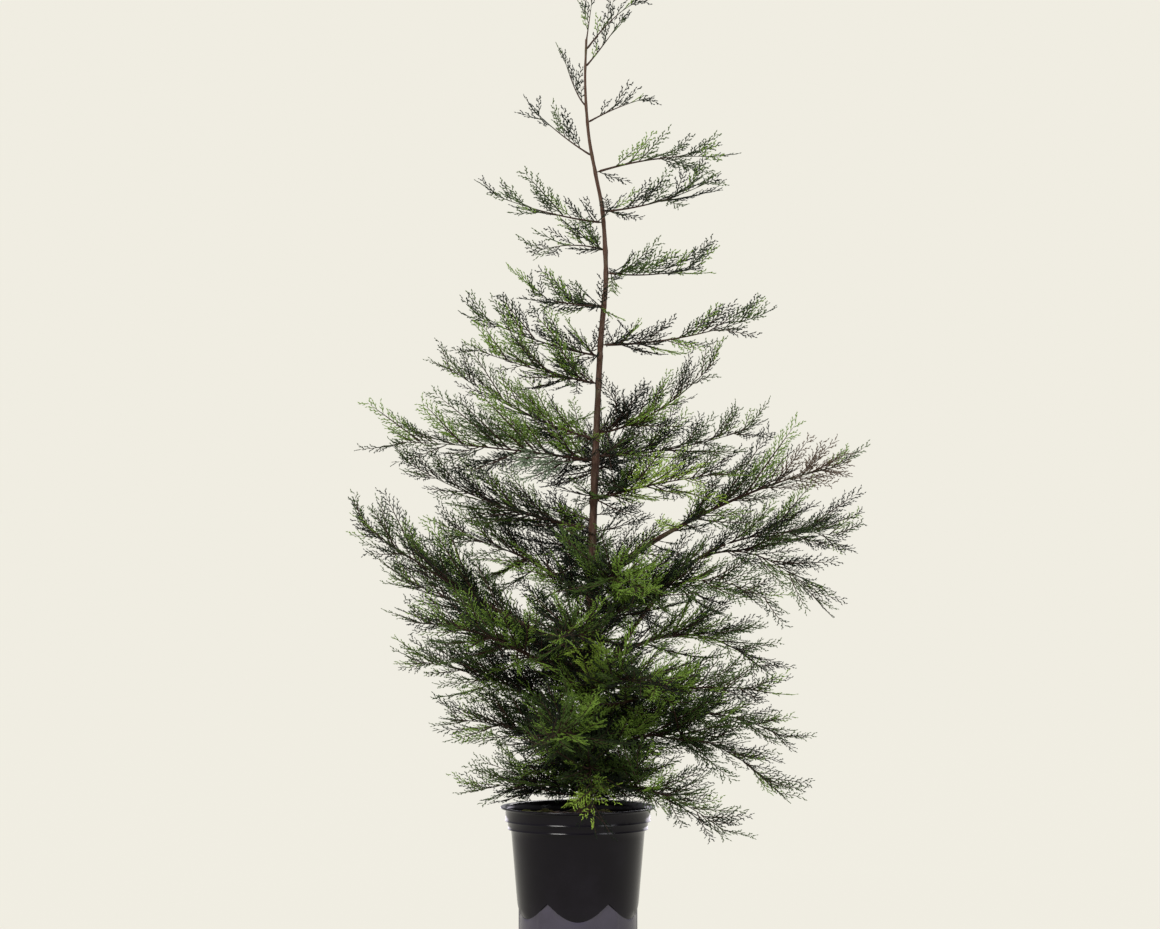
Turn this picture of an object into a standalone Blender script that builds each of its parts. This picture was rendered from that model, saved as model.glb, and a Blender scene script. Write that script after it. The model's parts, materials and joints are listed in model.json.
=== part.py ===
"""A potted leyland cypress: pot, compost, trunk, main boughs and the masses of sprays that they carry.

Metres, +Z up. The origin is the middle of the pot's flat underside, +X is the right-hand side and
-Y the front.
"""

import math
import random
from typing import NamedTuple

import bmesh
import bpy
from mathutils import Matrix, Vector
from mathutils.bvhtree import BVHTree

CLEAR = 0.0003
SHARP_ANGLE = math.radians(35)

# Pot: a tapering wall under two stepped bands and a flared lip
STEPS = 30
POT_HEIGHT = 0.240
WALL_THICK = 0.0020
FLOOR_THICK = 0.0030
LIP_RADIUS = 0.140
LIP_THICK = 0.0035
BAND_RADIUS = 0.1305
BAND_BOTTOM = 0.2135
STEP_RADIUS = 0.1260
STEP_BOTTOM = 0.1990
WALL_TOP_RADIUS = 0.1205
WALL_SLOPE = 0.084
FOOT_RADIUS = 0.1070
FOOT_EDGE = 0.0015
TONGUE_LOW = 0.044
TONGUE_HIGH = 0.075
TONGUES = 6
DRAIN_RADIUS = 0.008
DRAIN_CIRCLE = 0.086
DRAIN_SIDES = 8

# Compost
SOIL_TOP = 0.2235
SOIL_EDGE = 0.2190
SOIL_FLAT = 0.055

# Trunk: height and sideways place of the points that it passes through
TRUNK_WAY = (
    (0.2238, 0.012), (0.43, 0.018), (0.69, 0.025), (0.88, 0.032), (1.08, 0.041), (1.19, 0.050),
    (1.31, 0.044), (1.38, 0.031), (1.45, 0.019), (1.54, 0.013), (1.62, 0.015),
)
TRUNK_RADIUS = 0.0105
TRUNK_TIP_RADIUS = 0.0019
TRUNK_TAPER = 1.1
FLARE = 0.007
FLARE_HEIGHT = 0.016
TRUNK_STATIONS = 17

# Limbs
LIMB_RADIUS = 0.0011
LIMB_RADIUS_BY_LENGTH = 0.0085
TWIG_RADIUS = 0.0014
TIP_RADIUS = 0.0008
STEM_END = 0.95
NUB = 0.004
STEM_STATIONS = 5
BOUGH_STATIONS = 4
SEAT_SPOKES = 8
SWAY = 0.03

# Sprays: outline of one side of a blade, as shares of its length along it and of its width across it
BLADE_SIDE = ((0.13, 0.13), (0.42, 0.5), (0.46, 0.16), (0.75, 0.42), (0.76, 0.12))
BLADE_STAGGER = 0.04
BLADE_MIDDLE = 0.45
BLADE_WIDTH = 0.40
BLADE_THICK = 0.028
BLADE_THICK_LEAST = 0.0014
BLADE_ROOM = 0.0014
SPRAY_EVERY = 0.058
SPRAY_ANGLES = (42, 138, 68, 112, 18, 162, -30, 210)
SPRAY_LEAN = 40
SPRAY_JITTER = 14
SPRAY_LEAST = 0.028
LAST_SPRAY = 0.92
ROOT_DEPTH = 0.6
END_SHARE = 0.17
SPRAY_SHARE = 1.95
TWIG_FROM = 0.150
TWIG_SHARE = 0.55
TWIG_END_BLADE = (0.50, 0.52)
TWIG_SIDE_BLADE = (0.25, 0.55)
BODY_START = 0.55
BODY_RISE = 1.5
BODY_FALL = 0.62
TRIES = (0, 32, -32, 64, -64)


class Branch(NamedTuple):
    """One branch, from its root on the trunk's axis to its furthest tip."""

    name: str
    height: float  # of its root on the trunk, or its place along its parent, from 0 to 1
    azimuth: float  # degrees from the right-hand side, turning to the back
    reach: float  # level distance from root to tip
    lift: float  # how far its tip stands above its root
    bow: float  # how far its middle stands above the straight line
    spread: float  # half the width of its sprays
    bare: float = 0.0  # share of its length that is a bough
    parent: str = ""  # the bough that it leaves, where that isn't the trunk


BRANCHES = (
    Branch("leader", 1.615, 0, 0.012, 0.086, 0.0, 0.022),
    Branch("right_1", 1.60, -15, 0.095, 0.085, 0.010, 0.025),
    Branch("right_2", 1.57, 25, 0.080, 0.100, -0.004, 0.022),
    Branch("left_1", 1.50, 155, 0.050, 0.110, -0.018, 0.020),
    Branch("right_3", 1.47, -25, 0.120, 0.040, 0.004, 0.025),
    Branch("left_2", 1.41, 150, 0.130, 0.095, -0.005, 0.032),
    Branch("right_4", 1.38, -22, 0.240, 0.020, 0.012, 0.040),
    Branch("right_5", 1.31, 25, 0.235, 0.070, -0.012, 0.045),
    Branch("left_3", 1.29, 205, 0.220, 0.045, -0.008, 0.045),
    Branch("left_4", 1.24, 145, 0.165, 0.000, 0.012, 0.040),
    Branch("right_6", 1.20, -25, 0.190, 0.010, -0.010, 0.050),
    Branch("left_5", 1.14, 222, 0.180, 0.018, -0.006, 0.050),
    Branch("right_7", 1.07, -10, 0.300, 0.055, -0.014, 0.042),
    Branch("left_6", 1.05, 163, 0.245, 0.080, -0.010, 0.045),
    Branch("left_7", 1.00, 205, 0.245, 0.060, -0.006, 0.055),
    Branch("left_8", 0.90, 165, 0.290, 0.140, -0.018, 0.055),
    Branch("right_8", 0.91, -25, 0.240, 0.135, -0.025, 0.050),
    Branch("right_9", 0.87, 27, 0.330, 0.055, -0.012, 0.052),
    Branch("left_9", 0.86, 199, 0.375, 0.035, 0.006, 0.075),
    Branch("back_1", 0.84, 80, 0.245, 0.045, 0.006, 0.055),
    Branch("right_10", 0.79, -32, 0.305, 0.050, 0.008, 0.055),
    Branch("left_10", 0.74, 170, 0.355, 0.125, -0.020, 0.055),
    Branch("back_2", 0.67, 102, 0.305, 0.050, 0.012, 0.060),
    Branch("right_11", 0.64, -13, 0.465, 0.215, 0.032, 0.065, bare=0.34),
    Branch("front_1", 0.63, -71, 0.285, -0.010, 0.030, 0.055),
    Branch("left_11", 0.61, 152, 0.305, 0.115, 0.025, 0.055),
    Branch("back_3", 0.55, 75, 0.380, 0.050, 0.022, 0.065, bare=0.30),
    Branch("right_12", 0.54, -29, 0.375, 0.070, 0.070, 0.058),
    Branch("front_2", 0.52, 261, 0.345, 0.035, 0.022, 0.058),
    Branch("left_12", 0.51, 196, 0.435, 0.250, -0.014, 0.072, bare=0.32),
    Branch("left_13", 0.47, 156, 0.395, 0.175, 0.022, 0.070, bare=0.30),
    Branch("right_13", 0.47, 27, 0.370, 0.000, 0.075, 0.060, bare=0.30),
    Branch("left_14", 0.44, 218, 0.390, 0.140, 0.032, 0.065, bare=0.30),
    Branch("back_4", 0.45, 102, 0.390, 0.030, 0.022, 0.065),
    Branch("right_fork", 0.42, 12, 0.255, 0.290, 0.050, 0.0, bare=1.0),
    Branch("right_14", 1.0, 13, 0.230, 0.010, 0.016, 0.066, parent="right_fork"),
    Branch("right_15", 0.80, -14, 0.225, -0.080, 0.045, 0.060, parent="right_fork"),
    Branch("front_3", 0.43, -66, 0.340, 0.040, 0.025, 0.058),
    Branch("right_16", 0.40, -35, 0.380, 0.060, 0.025, 0.060, bare=0.28),
    Branch("left_15", 0.39, 169, 0.330, 0.110, 0.018, 0.060),
    Branch("back_5", 0.37, 74, 0.390, -0.015, 0.026, 0.064),
    Branch("right_17", 0.36, 9, 0.375, -0.006, 0.050, 0.064, bare=0.30),
    Branch("front_4", 0.35, 256, 0.345, 0.020, 0.026, 0.060),
    Branch("left_16", 0.33, 207, 0.265, 0.075, 0.012, 0.060),
    Branch("right_18", 0.32, -10, 0.365, -0.065, 0.080, 0.066),
    Branch("front_5", 0.31, -86, 0.205, -0.100, 0.055, 0.050),
    Branch("left_17", 0.28, 154, 0.235, -0.020, 0.006, 0.045),
    Branch("right_19", 0.275, -33, 0.300, -0.070, 0.034, 0.060),
)

POT_BLACK = ("Pot plastic", (0.010, 0.010, 0.013, 1), 0.38)
SOIL_BROWN = ("Compost", (0.030, 0.019, 0.011, 1), 0.95)
BARK_BROWN = ("Bark", (0.120, 0.062, 0.036, 1), 0.85)
LEAF_GREEN = ("Sprays", (0.045, 0.095, 0.022, 1), 0.60)


def clear_scene():
    """Remove the objects that the file opens with."""
    for obj in list(bpy.data.objects):
        bpy.data.objects.remove(obj, do_unlink=True)


def new_collection(name):
    collection = bpy.data.collections.new(name)
    bpy.context.scene.collection.children.link(collection)
    return collection


def material(name, colour, roughness):
    """A Principled finish, made once for each name."""
    if name in bpy.data.materials:
        return bpy.data.materials[name]
    finish = bpy.data.materials.new(name)
    finish.use_nodes = True
    shader = finish.node_tree.nodes["Principled BSDF"]
    shader.inputs["Base Color"].default_value = colour
    shader.inputs["Roughness"].default_value = roughness
    shader.inputs["Metallic"].default_value = 0.0
    finish.diffuse_color = colour
    return finish


def add_object(name, data, collection):
    obj = bpy.data.objects.new(name, data)
    collection.objects.link(obj)
    return obj


def evaluated(obj):
    """The object's mesh as its curve or modifiers make it."""
    graph = bpy.context.evaluated_depsgraph_get()
    return bpy.data.meshes.new_from_object(obj.evaluated_get(graph))


def replaced(obj, mesh):
    """A plain mesh object in place of one that had a curve or modifiers."""
    name, collection = obj.name, obj.users_collection[0]
    bpy.data.objects.remove(obj, do_unlink=True)
    return add_object(name, mesh, collection)


def settled(obj):
    """The object as its evaluated mesh, with its doubles welded."""
    mesh = evaluated(obj)
    bm = bmesh.new()
    bm.from_mesh(mesh)
    bmesh.ops.remove_doubles(bm, verts=bm.verts, dist=1e-6)
    bm.to_mesh(mesh)
    bm.free()
    return replaced(obj, mesh)


def is_closed(mesh):
    """Whether every edge of a mesh has exactly two faces."""
    bm = bmesh.new()
    bm.from_mesh(mesh)
    closed = all(len(edge.link_faces) == 2 for edge in bm.edges)
    bm.free()
    return closed


def tree_of(mesh):
    """The mesh's faces, ready for tests of distance and touch."""
    bm = bmesh.new()
    bm.from_mesh(mesh)
    tree = BVHTree.FromBMesh(bm)
    bm.free()
    return tree


def turned(name, profile, collection):
    """A solid of revolution; the profile starts and ends on the axis and runs down its outer side."""
    bm = bmesh.new()
    points = [bm.verts.new((radius, 0, height)) for radius, height in profile]
    for a, b in zip(points, points[1:]):
        bm.edges.new((a, b))
    mesh = bpy.data.meshes.new(name)
    bm.to_mesh(mesh)
    bm.free()
    obj = add_object(name, mesh, collection)
    screw = obj.modifiers.new("Turn", "SCREW")
    screw.steps = screw.render_steps = STEPS
    screw.use_merge_vertices = True
    screw.merge_threshold = 1e-5
    return settled(obj)


def wall_radius(height):
    """Outer radius of the tapering wall."""
    return WALL_TOP_RADIUS - WALL_SLOPE * (STEP_BOTTOM - height)


def tongue_edge(angle):
    """Height of the wall's scalloped lower edge: round tongues with pointed arches between them."""
    arch = 1 - abs(math.cos(TONGUES / 2 * (angle + math.pi / 2)))
    return TONGUE_LOW + (TONGUE_HIGH - TONGUE_LOW) * arch


def inner_profile():
    """The pot's inside, from the middle of its floor up to its lip."""
    inset = WALL_THICK
    return [
        (0, FLOOR_THICK),
        (wall_radius(FLOOR_THICK) - inset, FLOOR_THICK),
        (WALL_TOP_RADIUS - inset, STEP_BOTTOM),
        (STEP_RADIUS - inset, STEP_BOTTOM + inset),
        (STEP_RADIUS - inset, BAND_BOTTOM),
        (BAND_RADIUS - inset, BAND_BOTTOM + inset),
        (BAND_RADIUS - inset, POT_HEIGHT - 2 * LIP_THICK),
        (BAND_RADIUS + inset, POT_HEIGHT - LIP_THICK / 3),
    ]


def build_pot(collection, cutters):
    """The pot: lip, two bands, wall with its scalloped edge, foot, and drain holes in the floor."""
    edge_mark = (TONGUE_LOW + TONGUE_HIGH) / 2
    foot_mark = edge_mark - FOOT_EDGE
    outer = [
        (LIP_RADIUS - LIP_THICK / 2, POT_HEIGHT),
        (LIP_RADIUS, POT_HEIGHT - LIP_THICK / 2),
        (LIP_RADIUS - LIP_THICK / 2, POT_HEIGHT - LIP_THICK),
        (BAND_RADIUS, POT_HEIGHT - 1.6 * LIP_THICK),
        (BAND_RADIUS, BAND_BOTTOM),
        (STEP_RADIUS, BAND_BOTTOM),
        (STEP_RADIUS, STEP_BOTTOM),
        (WALL_TOP_RADIUS, STEP_BOTTOM),
        (wall_radius(edge_mark), edge_mark),
        (FOOT_RADIUS, foot_mark),
        (FOOT_RADIUS, FOOT_EDGE),
        (FOOT_RADIUS - FOOT_EDGE, 0),
        (0, 0),
    ]
    pot = turned("pot", inner_profile() + outer, collection)
    for vertex in pot.data.vertices:
        angle = math.atan2(vertex.co.y, vertex.co.x)
        if abs(vertex.co.z - edge_mark) < CLEAR / 3:
            vertex.co.z = tongue_edge(angle)
            level = math.hypot(vertex.co.x, vertex.co.y)
            vertex.co.xy *= wall_radius(vertex.co.z) / level
        elif abs(vertex.co.z - foot_mark) < CLEAR / 3:
            vertex.co.z = tongue_edge(angle) - FOOT_EDGE
    bm = bmesh.new()
    for i in range(TONGUES):
        angle = math.tau * i / TONGUES
        place = Matrix.Translation((DRAIN_CIRCLE * math.cos(angle), DRAIN_CIRCLE * math.sin(angle), 0))
        bmesh.ops.create_cone(
            bm, cap_ends=True, segments=DRAIN_SIDES, radius1=DRAIN_RADIUS, radius2=DRAIN_RADIUS,
            depth=4 * FLOOR_THICK, matrix=place,
        )
    mesh = bpy.data.meshes.new("drain_holes")
    bm.to_mesh(mesh)
    bm.free()
    cutter = add_object("drain_holes", mesh, cutters)
    cutter.hide_render = True
    cutter.display_type = "WIRE"
    cut = pot.modifiers.new("Drain holes", "BOOLEAN")
    cut.operation = "DIFFERENCE"
    cut.object = cutter
    pot.data.materials.append(material(*POT_BLACK))
    return pot


def build_soil(collection):
    """The compost, clear of the pot's inside all round, flat where the trunk stands."""
    bottom = FLOOR_THICK + CLEAR
    room = WALL_THICK + 2 * CLEAR
    profile = [
        (0, SOIL_TOP),
        (SOIL_FLAT, SOIL_TOP),
        (BAND_RADIUS - room, SOIL_EDGE),
        (BAND_RADIUS - room, BAND_BOTTOM + WALL_THICK + CLEAR),
        (STEP_RADIUS - room, BAND_BOTTOM),
        (STEP_RADIUS - room, STEP_BOTTOM + WALL_THICK + CLEAR),
        (WALL_TOP_RADIUS - room, STEP_BOTTOM),
        (wall_radius(bottom) - room, bottom),
        (0, bottom),
    ]
    soil = turned("soil", profile, collection)
    soil.data.materials.append(material(*SOIL_BROWN))
    return soil


def trunk_point(height):
    """The trunk's axis at a height, on a smooth curve through its way."""
    way = TRUNK_WAY
    i = max(1, next((k for k, (z, _) in enumerate(way) if z >= height), len(way) - 1))

    def slope(k):
        low, high = way[max(k - 1, 0)], way[min(k + 1, len(way) - 1)]
        return (high[1] - low[1]) / (high[0] - low[0])

    (z0, x0), (z1, x1) = way[i - 1], way[i]
    span = z1 - z0
    t = min(max((height - z0) / span, 0.0), 1.0)
    start, end = slope(i - 1) * span, slope(i) * span
    x = (2 * t**3 - 3 * t**2 + 1) * x0 + (t**3 - 2 * t**2 + t) * start
    x += (3 * t**2 - 2 * t**3) * x1 + (t**3 - t**2) * end
    return Vector((x, 0, height))


def trunk_radius(height):
    foot, top = TRUNK_WAY[0][0], TRUNK_WAY[-1][0]
    share = (height - foot) / (top - foot)
    taper = TRUNK_TIP_RADIUS + (TRUNK_RADIUS - TRUNK_TIP_RADIUS) * (1 - share) ** TRUNK_TAPER
    return taper + FLARE * math.exp(-(height - foot) / FLARE_HEIGHT)


def limb(name, points, radii, resolution, collection):
    """A tapering limb through its points, closed by a flat cut at each end."""
    curve = bpy.data.curves.new(name, "CURVE")
    curve.dimensions = "3D"
    curve.bevel_depth = 1.0
    curve.bevel_resolution = resolution
    curve.use_fill_caps = True
    spline = curve.splines.new("POLY")
    spline.points.add(len(points) - 1)
    for target, point, radius in zip(spline.points, points, radii):
        target.co = (*point, 1)
        target.radius = radius
    return settled(add_object(name, curve, collection))


def build_trunk(collection):
    foot, top = TRUNK_WAY[0][0], TRUNK_WAY[-1][0]
    heights = [foot, foot + FLARE_HEIGHT / 2, foot + 1.5 * FLARE_HEIGHT]
    steps = TRUNK_STATIONS - len(heights)
    heights += [heights[-1] + (top - heights[-1]) * (i + 1) / steps for i in range(steps)]
    points = [trunk_point(height) for height in heights]
    points[1].xy = points[0].xy
    trunk = limb("trunk", points, [trunk_radius(height) for height in heights], 2, collection)
    trunk.data.materials.append(material(*BARK_BROWN))
    return trunk


class Path:
    """A branch's centre line, its radius and the frame of directions along it."""

    def __init__(self, branch, root):
        chance = random.Random(branch.name)
        azimuth = math.radians(branch.azimuth)
        self.root = root
        self.out = Vector((math.cos(azimuth), math.sin(azimuth), 0))
        self.across = Vector((-self.out.y, self.out.x, 0))
        self.branch = branch
        self.sway = chance.uniform(-SWAY, SWAY) * branch.reach
        self.length = math.hypot(branch.reach, branch.lift)
        self.radius = LIMB_RADIUS + LIMB_RADIUS_BY_LENGTH * self.length

    def point(self, t):
        b = self.branch
        level = self.root + self.out * (b.reach * t) + self.across * (self.sway * math.sin(math.pi * t))
        return level + Vector((0, 0, b.lift * t + b.bow * 4 * t * (1 - t)))

    def tangent(self, t):
        step = 1e-3
        return (self.point(t + step) - self.point(t - step)).normalized()

    def thick(self, t):
        return self.radius + (TIP_RADIUS - self.radius) * t

    def stations(self, start, end, count):
        """Even steps from start to end, after a short first one that squares the flat cut."""
        first = start + NUB / self.length
        return [start] + [first + (end - first) * i / (count - 1) for i in range(count)]

    def limb(self, name, stations, resolution, collection):
        points = [self.point(t) for t in stations]
        return limb(name, points, [self.thick(t) for t in stations], resolution, collection)

    def seat(self, support, start=0.0):
        """The first place along the path whose flat cut lies clear of what carries the branch."""
        t = start
        while True:
            side, up = frame_of(self.tangent(t))
            rim = [self.point(t)]
            for k in range(SEAT_SPOKES):
                turn = math.tau * k / SEAT_SPOKES
                spoke = side * math.cos(turn) + up * math.sin(turn)
                rim.append(self.point(t) + spoke * self.thick(t))
            if all(outside(support, point) >= CLEAR for point in rim):
                return t
            t += CLEAR / 4 / self.length


def frame_of(direction):
    """The level side and the upward direction that stand square to a direction."""
    side = direction.cross(Vector((0, 0, 1)))
    side = side.normalized() if side.length > 1e-3 else Vector((0, 1, 0))
    return side, side.cross(direction).normalized()


def outside(tree, point):
    """Distance of a point from a closed surface, negative inside it."""
    place, normal, _, distance = tree.find_nearest(point)
    return distance if (point - place).dot(normal) > 0 else -distance


def blade(length, width, thick):
    """A spray as a blade with forward teeth, thickest in its middle and thin along its outline."""
    bm = bmesh.new()
    far = [(u + BLADE_STAGGER, -v) for u, v in reversed(BLADE_SIDE)]
    outline = [(0.0, 0.0), *BLADE_SIDE, (1.0, 0.0), *far]
    rim = [bm.verts.new((u * length, v * width, 0)) for u, v in outline]
    top = bm.verts.new((BLADE_MIDDLE * length, 0, thick / 2))
    under = bm.verts.new((BLADE_MIDDLE * length, 0, -thick / 2))
    for a, b in zip(rim, rim[1:] + rim[:1]):
        bm.faces.new((b, a, top))
        bm.faces.new((a, b, under))
    return bm


class Mass:
    """One mass of foliage: a stem, its twigs and its blades, kept to a space of their own."""

    def __init__(self, path, start, obstacles, collection):
        self.path = path
        self.start = start
        self.obstacles = obstacles
        self.collection = collection
        self.chance = random.Random(path.branch.name + " sprays")
        self.stations = []
        self.pieces = []
        self.trees = []

    def stem(self):
        self.stations = self.path.stations(self.start, STEM_END, STEM_STATIONS)
        return self.path.limb(f"foliage_{self.path.branch.name}", self.stations, 0, self.collection)

    def on_stem(self, t):
        """A point of the stem's own straight runs, where a spray is rooted."""
        high = next((s for s in self.stations if s > t), self.stations[-1])
        low = self.stations[self.stations.index(high) - 1]
        return self.path.point(low).lerp(self.path.point(high), (t - low) / (high - low))

    def is_free(self, bm):
        """Whether a candidate touches no limb, pot or other mass."""
        tree = BVHTree.FromBMesh(bm)
        return not any(tree.overlap(other) for other in self.obstacles)

    def add_blade(self, root, direction, width_way, length):
        """One blade, turned about its own line until it is free, or left out."""
        thick = max(BLADE_THICK_LEAST, BLADE_THICK * length)
        for turn in TRIES:
            across = (width_way - direction * width_way.dot(direction)).normalized()
            across = Matrix.Rotation(math.radians(turn), 3, direction) @ across
            place = Matrix((direction, across, direction.cross(across))).transposed().to_4x4()
            place.translation = root
            room = blade(length + BLADE_ROOM, BLADE_WIDTH * length + 2 * BLADE_ROOM, thick + 2 * BLADE_ROOM)
            room.transform(place)
            free = self.is_free(room)
            room.free()
            if free:
                bm = blade(length, BLADE_WIDTH * length, thick)
                bm.transform(place)
                mesh = bpy.data.meshes.new("blade")
                bm.to_mesh(mesh)
                self.trees.append(BVHTree.FromBMesh(bm))
                bm.free()
                self.pieces.append(add_object("blade", mesh, self.collection))
                return

    def add_twig(self, root, direction, width_way, length):
        """A side twig that carries a blade at its end and one on its side."""
        end = root + direction * (TWIG_SHARE * length)
        twig = limb("twig", [root, end], [TWIG_RADIUS, TIP_RADIUS], 0, self.collection)
        tree = tree_of(twig.data)
        if any(tree.overlap(other) for other in self.obstacles):
            bpy.data.objects.remove(twig, do_unlink=True)
            return
        self.pieces.append(twig)
        self.trees.append(tree)
        across = (width_way - direction * width_way.dot(direction)).normalized()
        lean = math.radians(SPRAY_LEAN)
        place, share = TWIG_END_BLADE
        self.add_blade(root + direction * (place * length), direction, across, share * length)
        way = direction * math.cos(lean) + across * math.sin(lean)
        place, share = TWIG_SIDE_BLADE
        self.add_blade(root + direction * (place * length), way, direction, share * length)

    def add_sprays(self):
        """Sprays along the stem, by turns to its two sides, longest in its first third."""
        b = self.path.branch
        run = self.path.length * (1 - self.start)
        count = max(3, round(run / SPRAY_EVERY))
        for i in range(count):
            share = (i + 0.5) / count
            t = self.start + (LAST_SPRAY - self.start) * share
            forward = self.path.tangent(t)
            side, up = frame_of(forward)
            around = math.radians(SPRAY_ANGLES[i % len(SPRAY_ANGLES)] + self.jitter())
            lean = math.radians(SPRAY_LEAN + self.jitter() / 2)
            outward = side * math.cos(around) + up * math.sin(around)
            direction = (forward * math.cos(lean) + outward * math.sin(lean)).normalized()
            body = min(1.0, BODY_START + BODY_RISE * share) * (1 - BODY_FALL * share)
            length = max(SPRAY_LEAST, b.spread * SPRAY_SHARE * body / math.sin(lean))
            root = self.on_stem(t) - direction * (ROOT_DEPTH * self.path.thick(t))
            if length > TWIG_FROM:
                self.add_twig(root, direction, forward, length)
            else:
                self.add_blade(root, direction, forward, length)
        length = max(SPRAY_LEAST, END_SHARE * self.path.length)
        t = 1 - length / self.path.length
        forward = self.path.tangent(1 - length / 2 / self.path.length)
        self.add_blade(self.on_stem(t), forward, frame_of(forward)[1], length)

    def jitter(self):
        return self.chance.uniform(-SPRAY_JITTER, SPRAY_JITTER)

    def fuse(self, stem, workshop):
        """The stem, twigs and blades joined into one body."""
        for piece in self.pieces:
            self.collection.objects.unlink(piece)
            workshop.objects.link(piece)
        join = stem.modifiers.new("Join", "BOOLEAN")
        join.operation = "UNION"
        join.operand_type = "COLLECTION"
        join.collection = workshop
        mesh = evaluated(stem)
        if not is_closed(mesh):
            join.solver = "MANIFOLD"
            mesh = evaluated(stem)
        fused = replaced(stem, mesh)
        for piece in list(workshop.objects):
            bpy.data.objects.remove(piece, do_unlink=True)
        drop_scraps(fused.data)
        fused.data.materials.clear()
        fused.data.materials.append(material(*LEAF_GREEN))
        return fused


def drop_scraps(mesh):
    """Keep the largest connected piece of a mesh."""
    bm = bmesh.new()
    bm.from_mesh(mesh)
    left = set(bm.verts)
    pieces = []
    while left:
        front = [left.pop()]
        piece = list(front)
        while front:
            for edge in front.pop().link_edges:
                for vertex in edge.verts:
                    if vertex in left:
                        left.remove(vertex)
                        front.append(vertex)
                        piece.append(vertex)
        pieces.append(piece)
    pieces.sort(key=len)
    for piece in pieces[:-1]:
        bmesh.ops.delete(bm, geom=piece, context="VERTS")
    bm.to_mesh(mesh)
    bm.free()


def build_boughs(trunk_tree, collection):
    """The bare boughs and each branch's path, with the place where its foliage begins."""
    paths, boughs = {}, {}
    for branch in BRANCHES:
        if branch.parent:
            support = boughs[branch.parent][1]
            root = paths[branch.parent][0].point(branch.height)
        else:
            support = trunk_tree
            root = trunk_point(branch.height)
        path = Path(branch, root)
        start = path.seat(support)
        if branch.bare:
            stations = path.stations(start, branch.bare, BOUGH_STATIONS)
            bough = path.limb(f"bough_{branch.name}", stations, 1, collection)
            bough.data.materials.append(material(*BARK_BROWN))
            boughs[branch.name] = (bough, tree_of(bough.data))
            start = path.seat(boughs[branch.name][1], branch.bare)
        paths[branch.name] = (path, start)
    return paths, boughs


def build_foliage(paths, solids, collection, workshop):
    """Every mass, each clear of the limbs, the pot and the masses beside it."""
    masses = []
    for branch in BRANCHES:
        if branch.spread:
            path, start = paths[branch.name]
            mass = Mass(path, start, [], collection)
            stem = mass.stem()
            masses.append((mass, stem, tree_of(stem.data)))
    grown = []
    for mass, stem, tree in masses:
        others = [other for _, _, other in masses if other is not tree]
        mass.obstacles = solids + others + grown
        mass.add_sprays()
        grown += mass.trees
        mass.fuse(stem, workshop)


def main():
    clear_scene()
    plant = new_collection("potted_leyland_cypress")
    cutters = new_collection("cutters")
    workshop = new_collection("workshop")
    pot = build_pot(plant, cutters)
    soil = build_soil(plant)
    trunk = build_trunk(plant)
    trunk_tree = tree_of(trunk.data)
    paths, boughs = build_boughs(trunk_tree, plant)
    solids = [tree_of(pot.data), tree_of(soil.data), trunk_tree]
    solids += [tree for _, tree in boughs.values()]
    build_foliage(paths, solids, plant, workshop)
    for obj in plant.objects:
        obj.data.shade_smooth()
        obj.data.set_sharp_from_angle(angle=SHARP_ANGLE)


main()
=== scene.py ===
"""The looks of a potted leyland cypress: pot, compost, bark, twigs and sprays of scale leaves.

Metres, +Z up. The origin is the middle of the pot's flat underside, +X is the right-hand side and
-Y the front.
"""

import json
import logging
import math
import random
from dataclasses import dataclass, field, fields, replace
from enum import Enum

import bmesh
import bpy
import numpy as np
from mathutils import Matrix, Vector, noise

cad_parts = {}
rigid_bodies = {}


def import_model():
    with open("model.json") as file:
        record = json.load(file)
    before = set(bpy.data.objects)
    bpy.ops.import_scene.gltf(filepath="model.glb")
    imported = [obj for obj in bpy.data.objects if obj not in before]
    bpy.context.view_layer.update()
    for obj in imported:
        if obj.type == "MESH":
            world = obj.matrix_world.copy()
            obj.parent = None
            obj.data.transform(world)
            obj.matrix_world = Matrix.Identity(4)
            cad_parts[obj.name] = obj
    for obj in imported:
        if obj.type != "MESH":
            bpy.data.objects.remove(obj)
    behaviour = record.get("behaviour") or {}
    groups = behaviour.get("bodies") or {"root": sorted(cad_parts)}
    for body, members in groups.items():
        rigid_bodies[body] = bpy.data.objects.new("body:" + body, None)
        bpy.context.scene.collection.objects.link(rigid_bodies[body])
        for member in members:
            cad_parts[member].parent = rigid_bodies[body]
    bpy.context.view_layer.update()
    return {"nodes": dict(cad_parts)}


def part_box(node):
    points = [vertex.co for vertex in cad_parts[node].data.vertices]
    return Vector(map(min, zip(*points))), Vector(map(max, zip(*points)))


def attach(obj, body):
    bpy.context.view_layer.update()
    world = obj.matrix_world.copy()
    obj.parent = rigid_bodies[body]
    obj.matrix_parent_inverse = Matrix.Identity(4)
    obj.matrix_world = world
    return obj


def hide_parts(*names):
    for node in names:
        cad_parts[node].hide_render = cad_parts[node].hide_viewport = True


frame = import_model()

log = logging.getLogger("potted_cypress")

Array = np.ndarray
Body = tuple[Array, Array, Array]
BMesh = bmesh.types.BMesh
Chance = np.random.Generator
Triple = tuple[float, float, float]
Colour = Triple
Mesh = bpy.types.Mesh
Node = bpy.types.Node
Pair = tuple[float, float]
UP = np.array((0.0, 0.0, 1.0))
PIECE_LIMIT = 190_000
BODY_START = 0.55
BODY_RISE = 1.5
BODY_FALL = 0.62


class Slot(Enum):
    """The record's material slots."""

    POT = "pot"
    SOIL = "soil"
    BARK = "bark"
    FOLIAGE = "foliage"


# Shader tools


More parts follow.
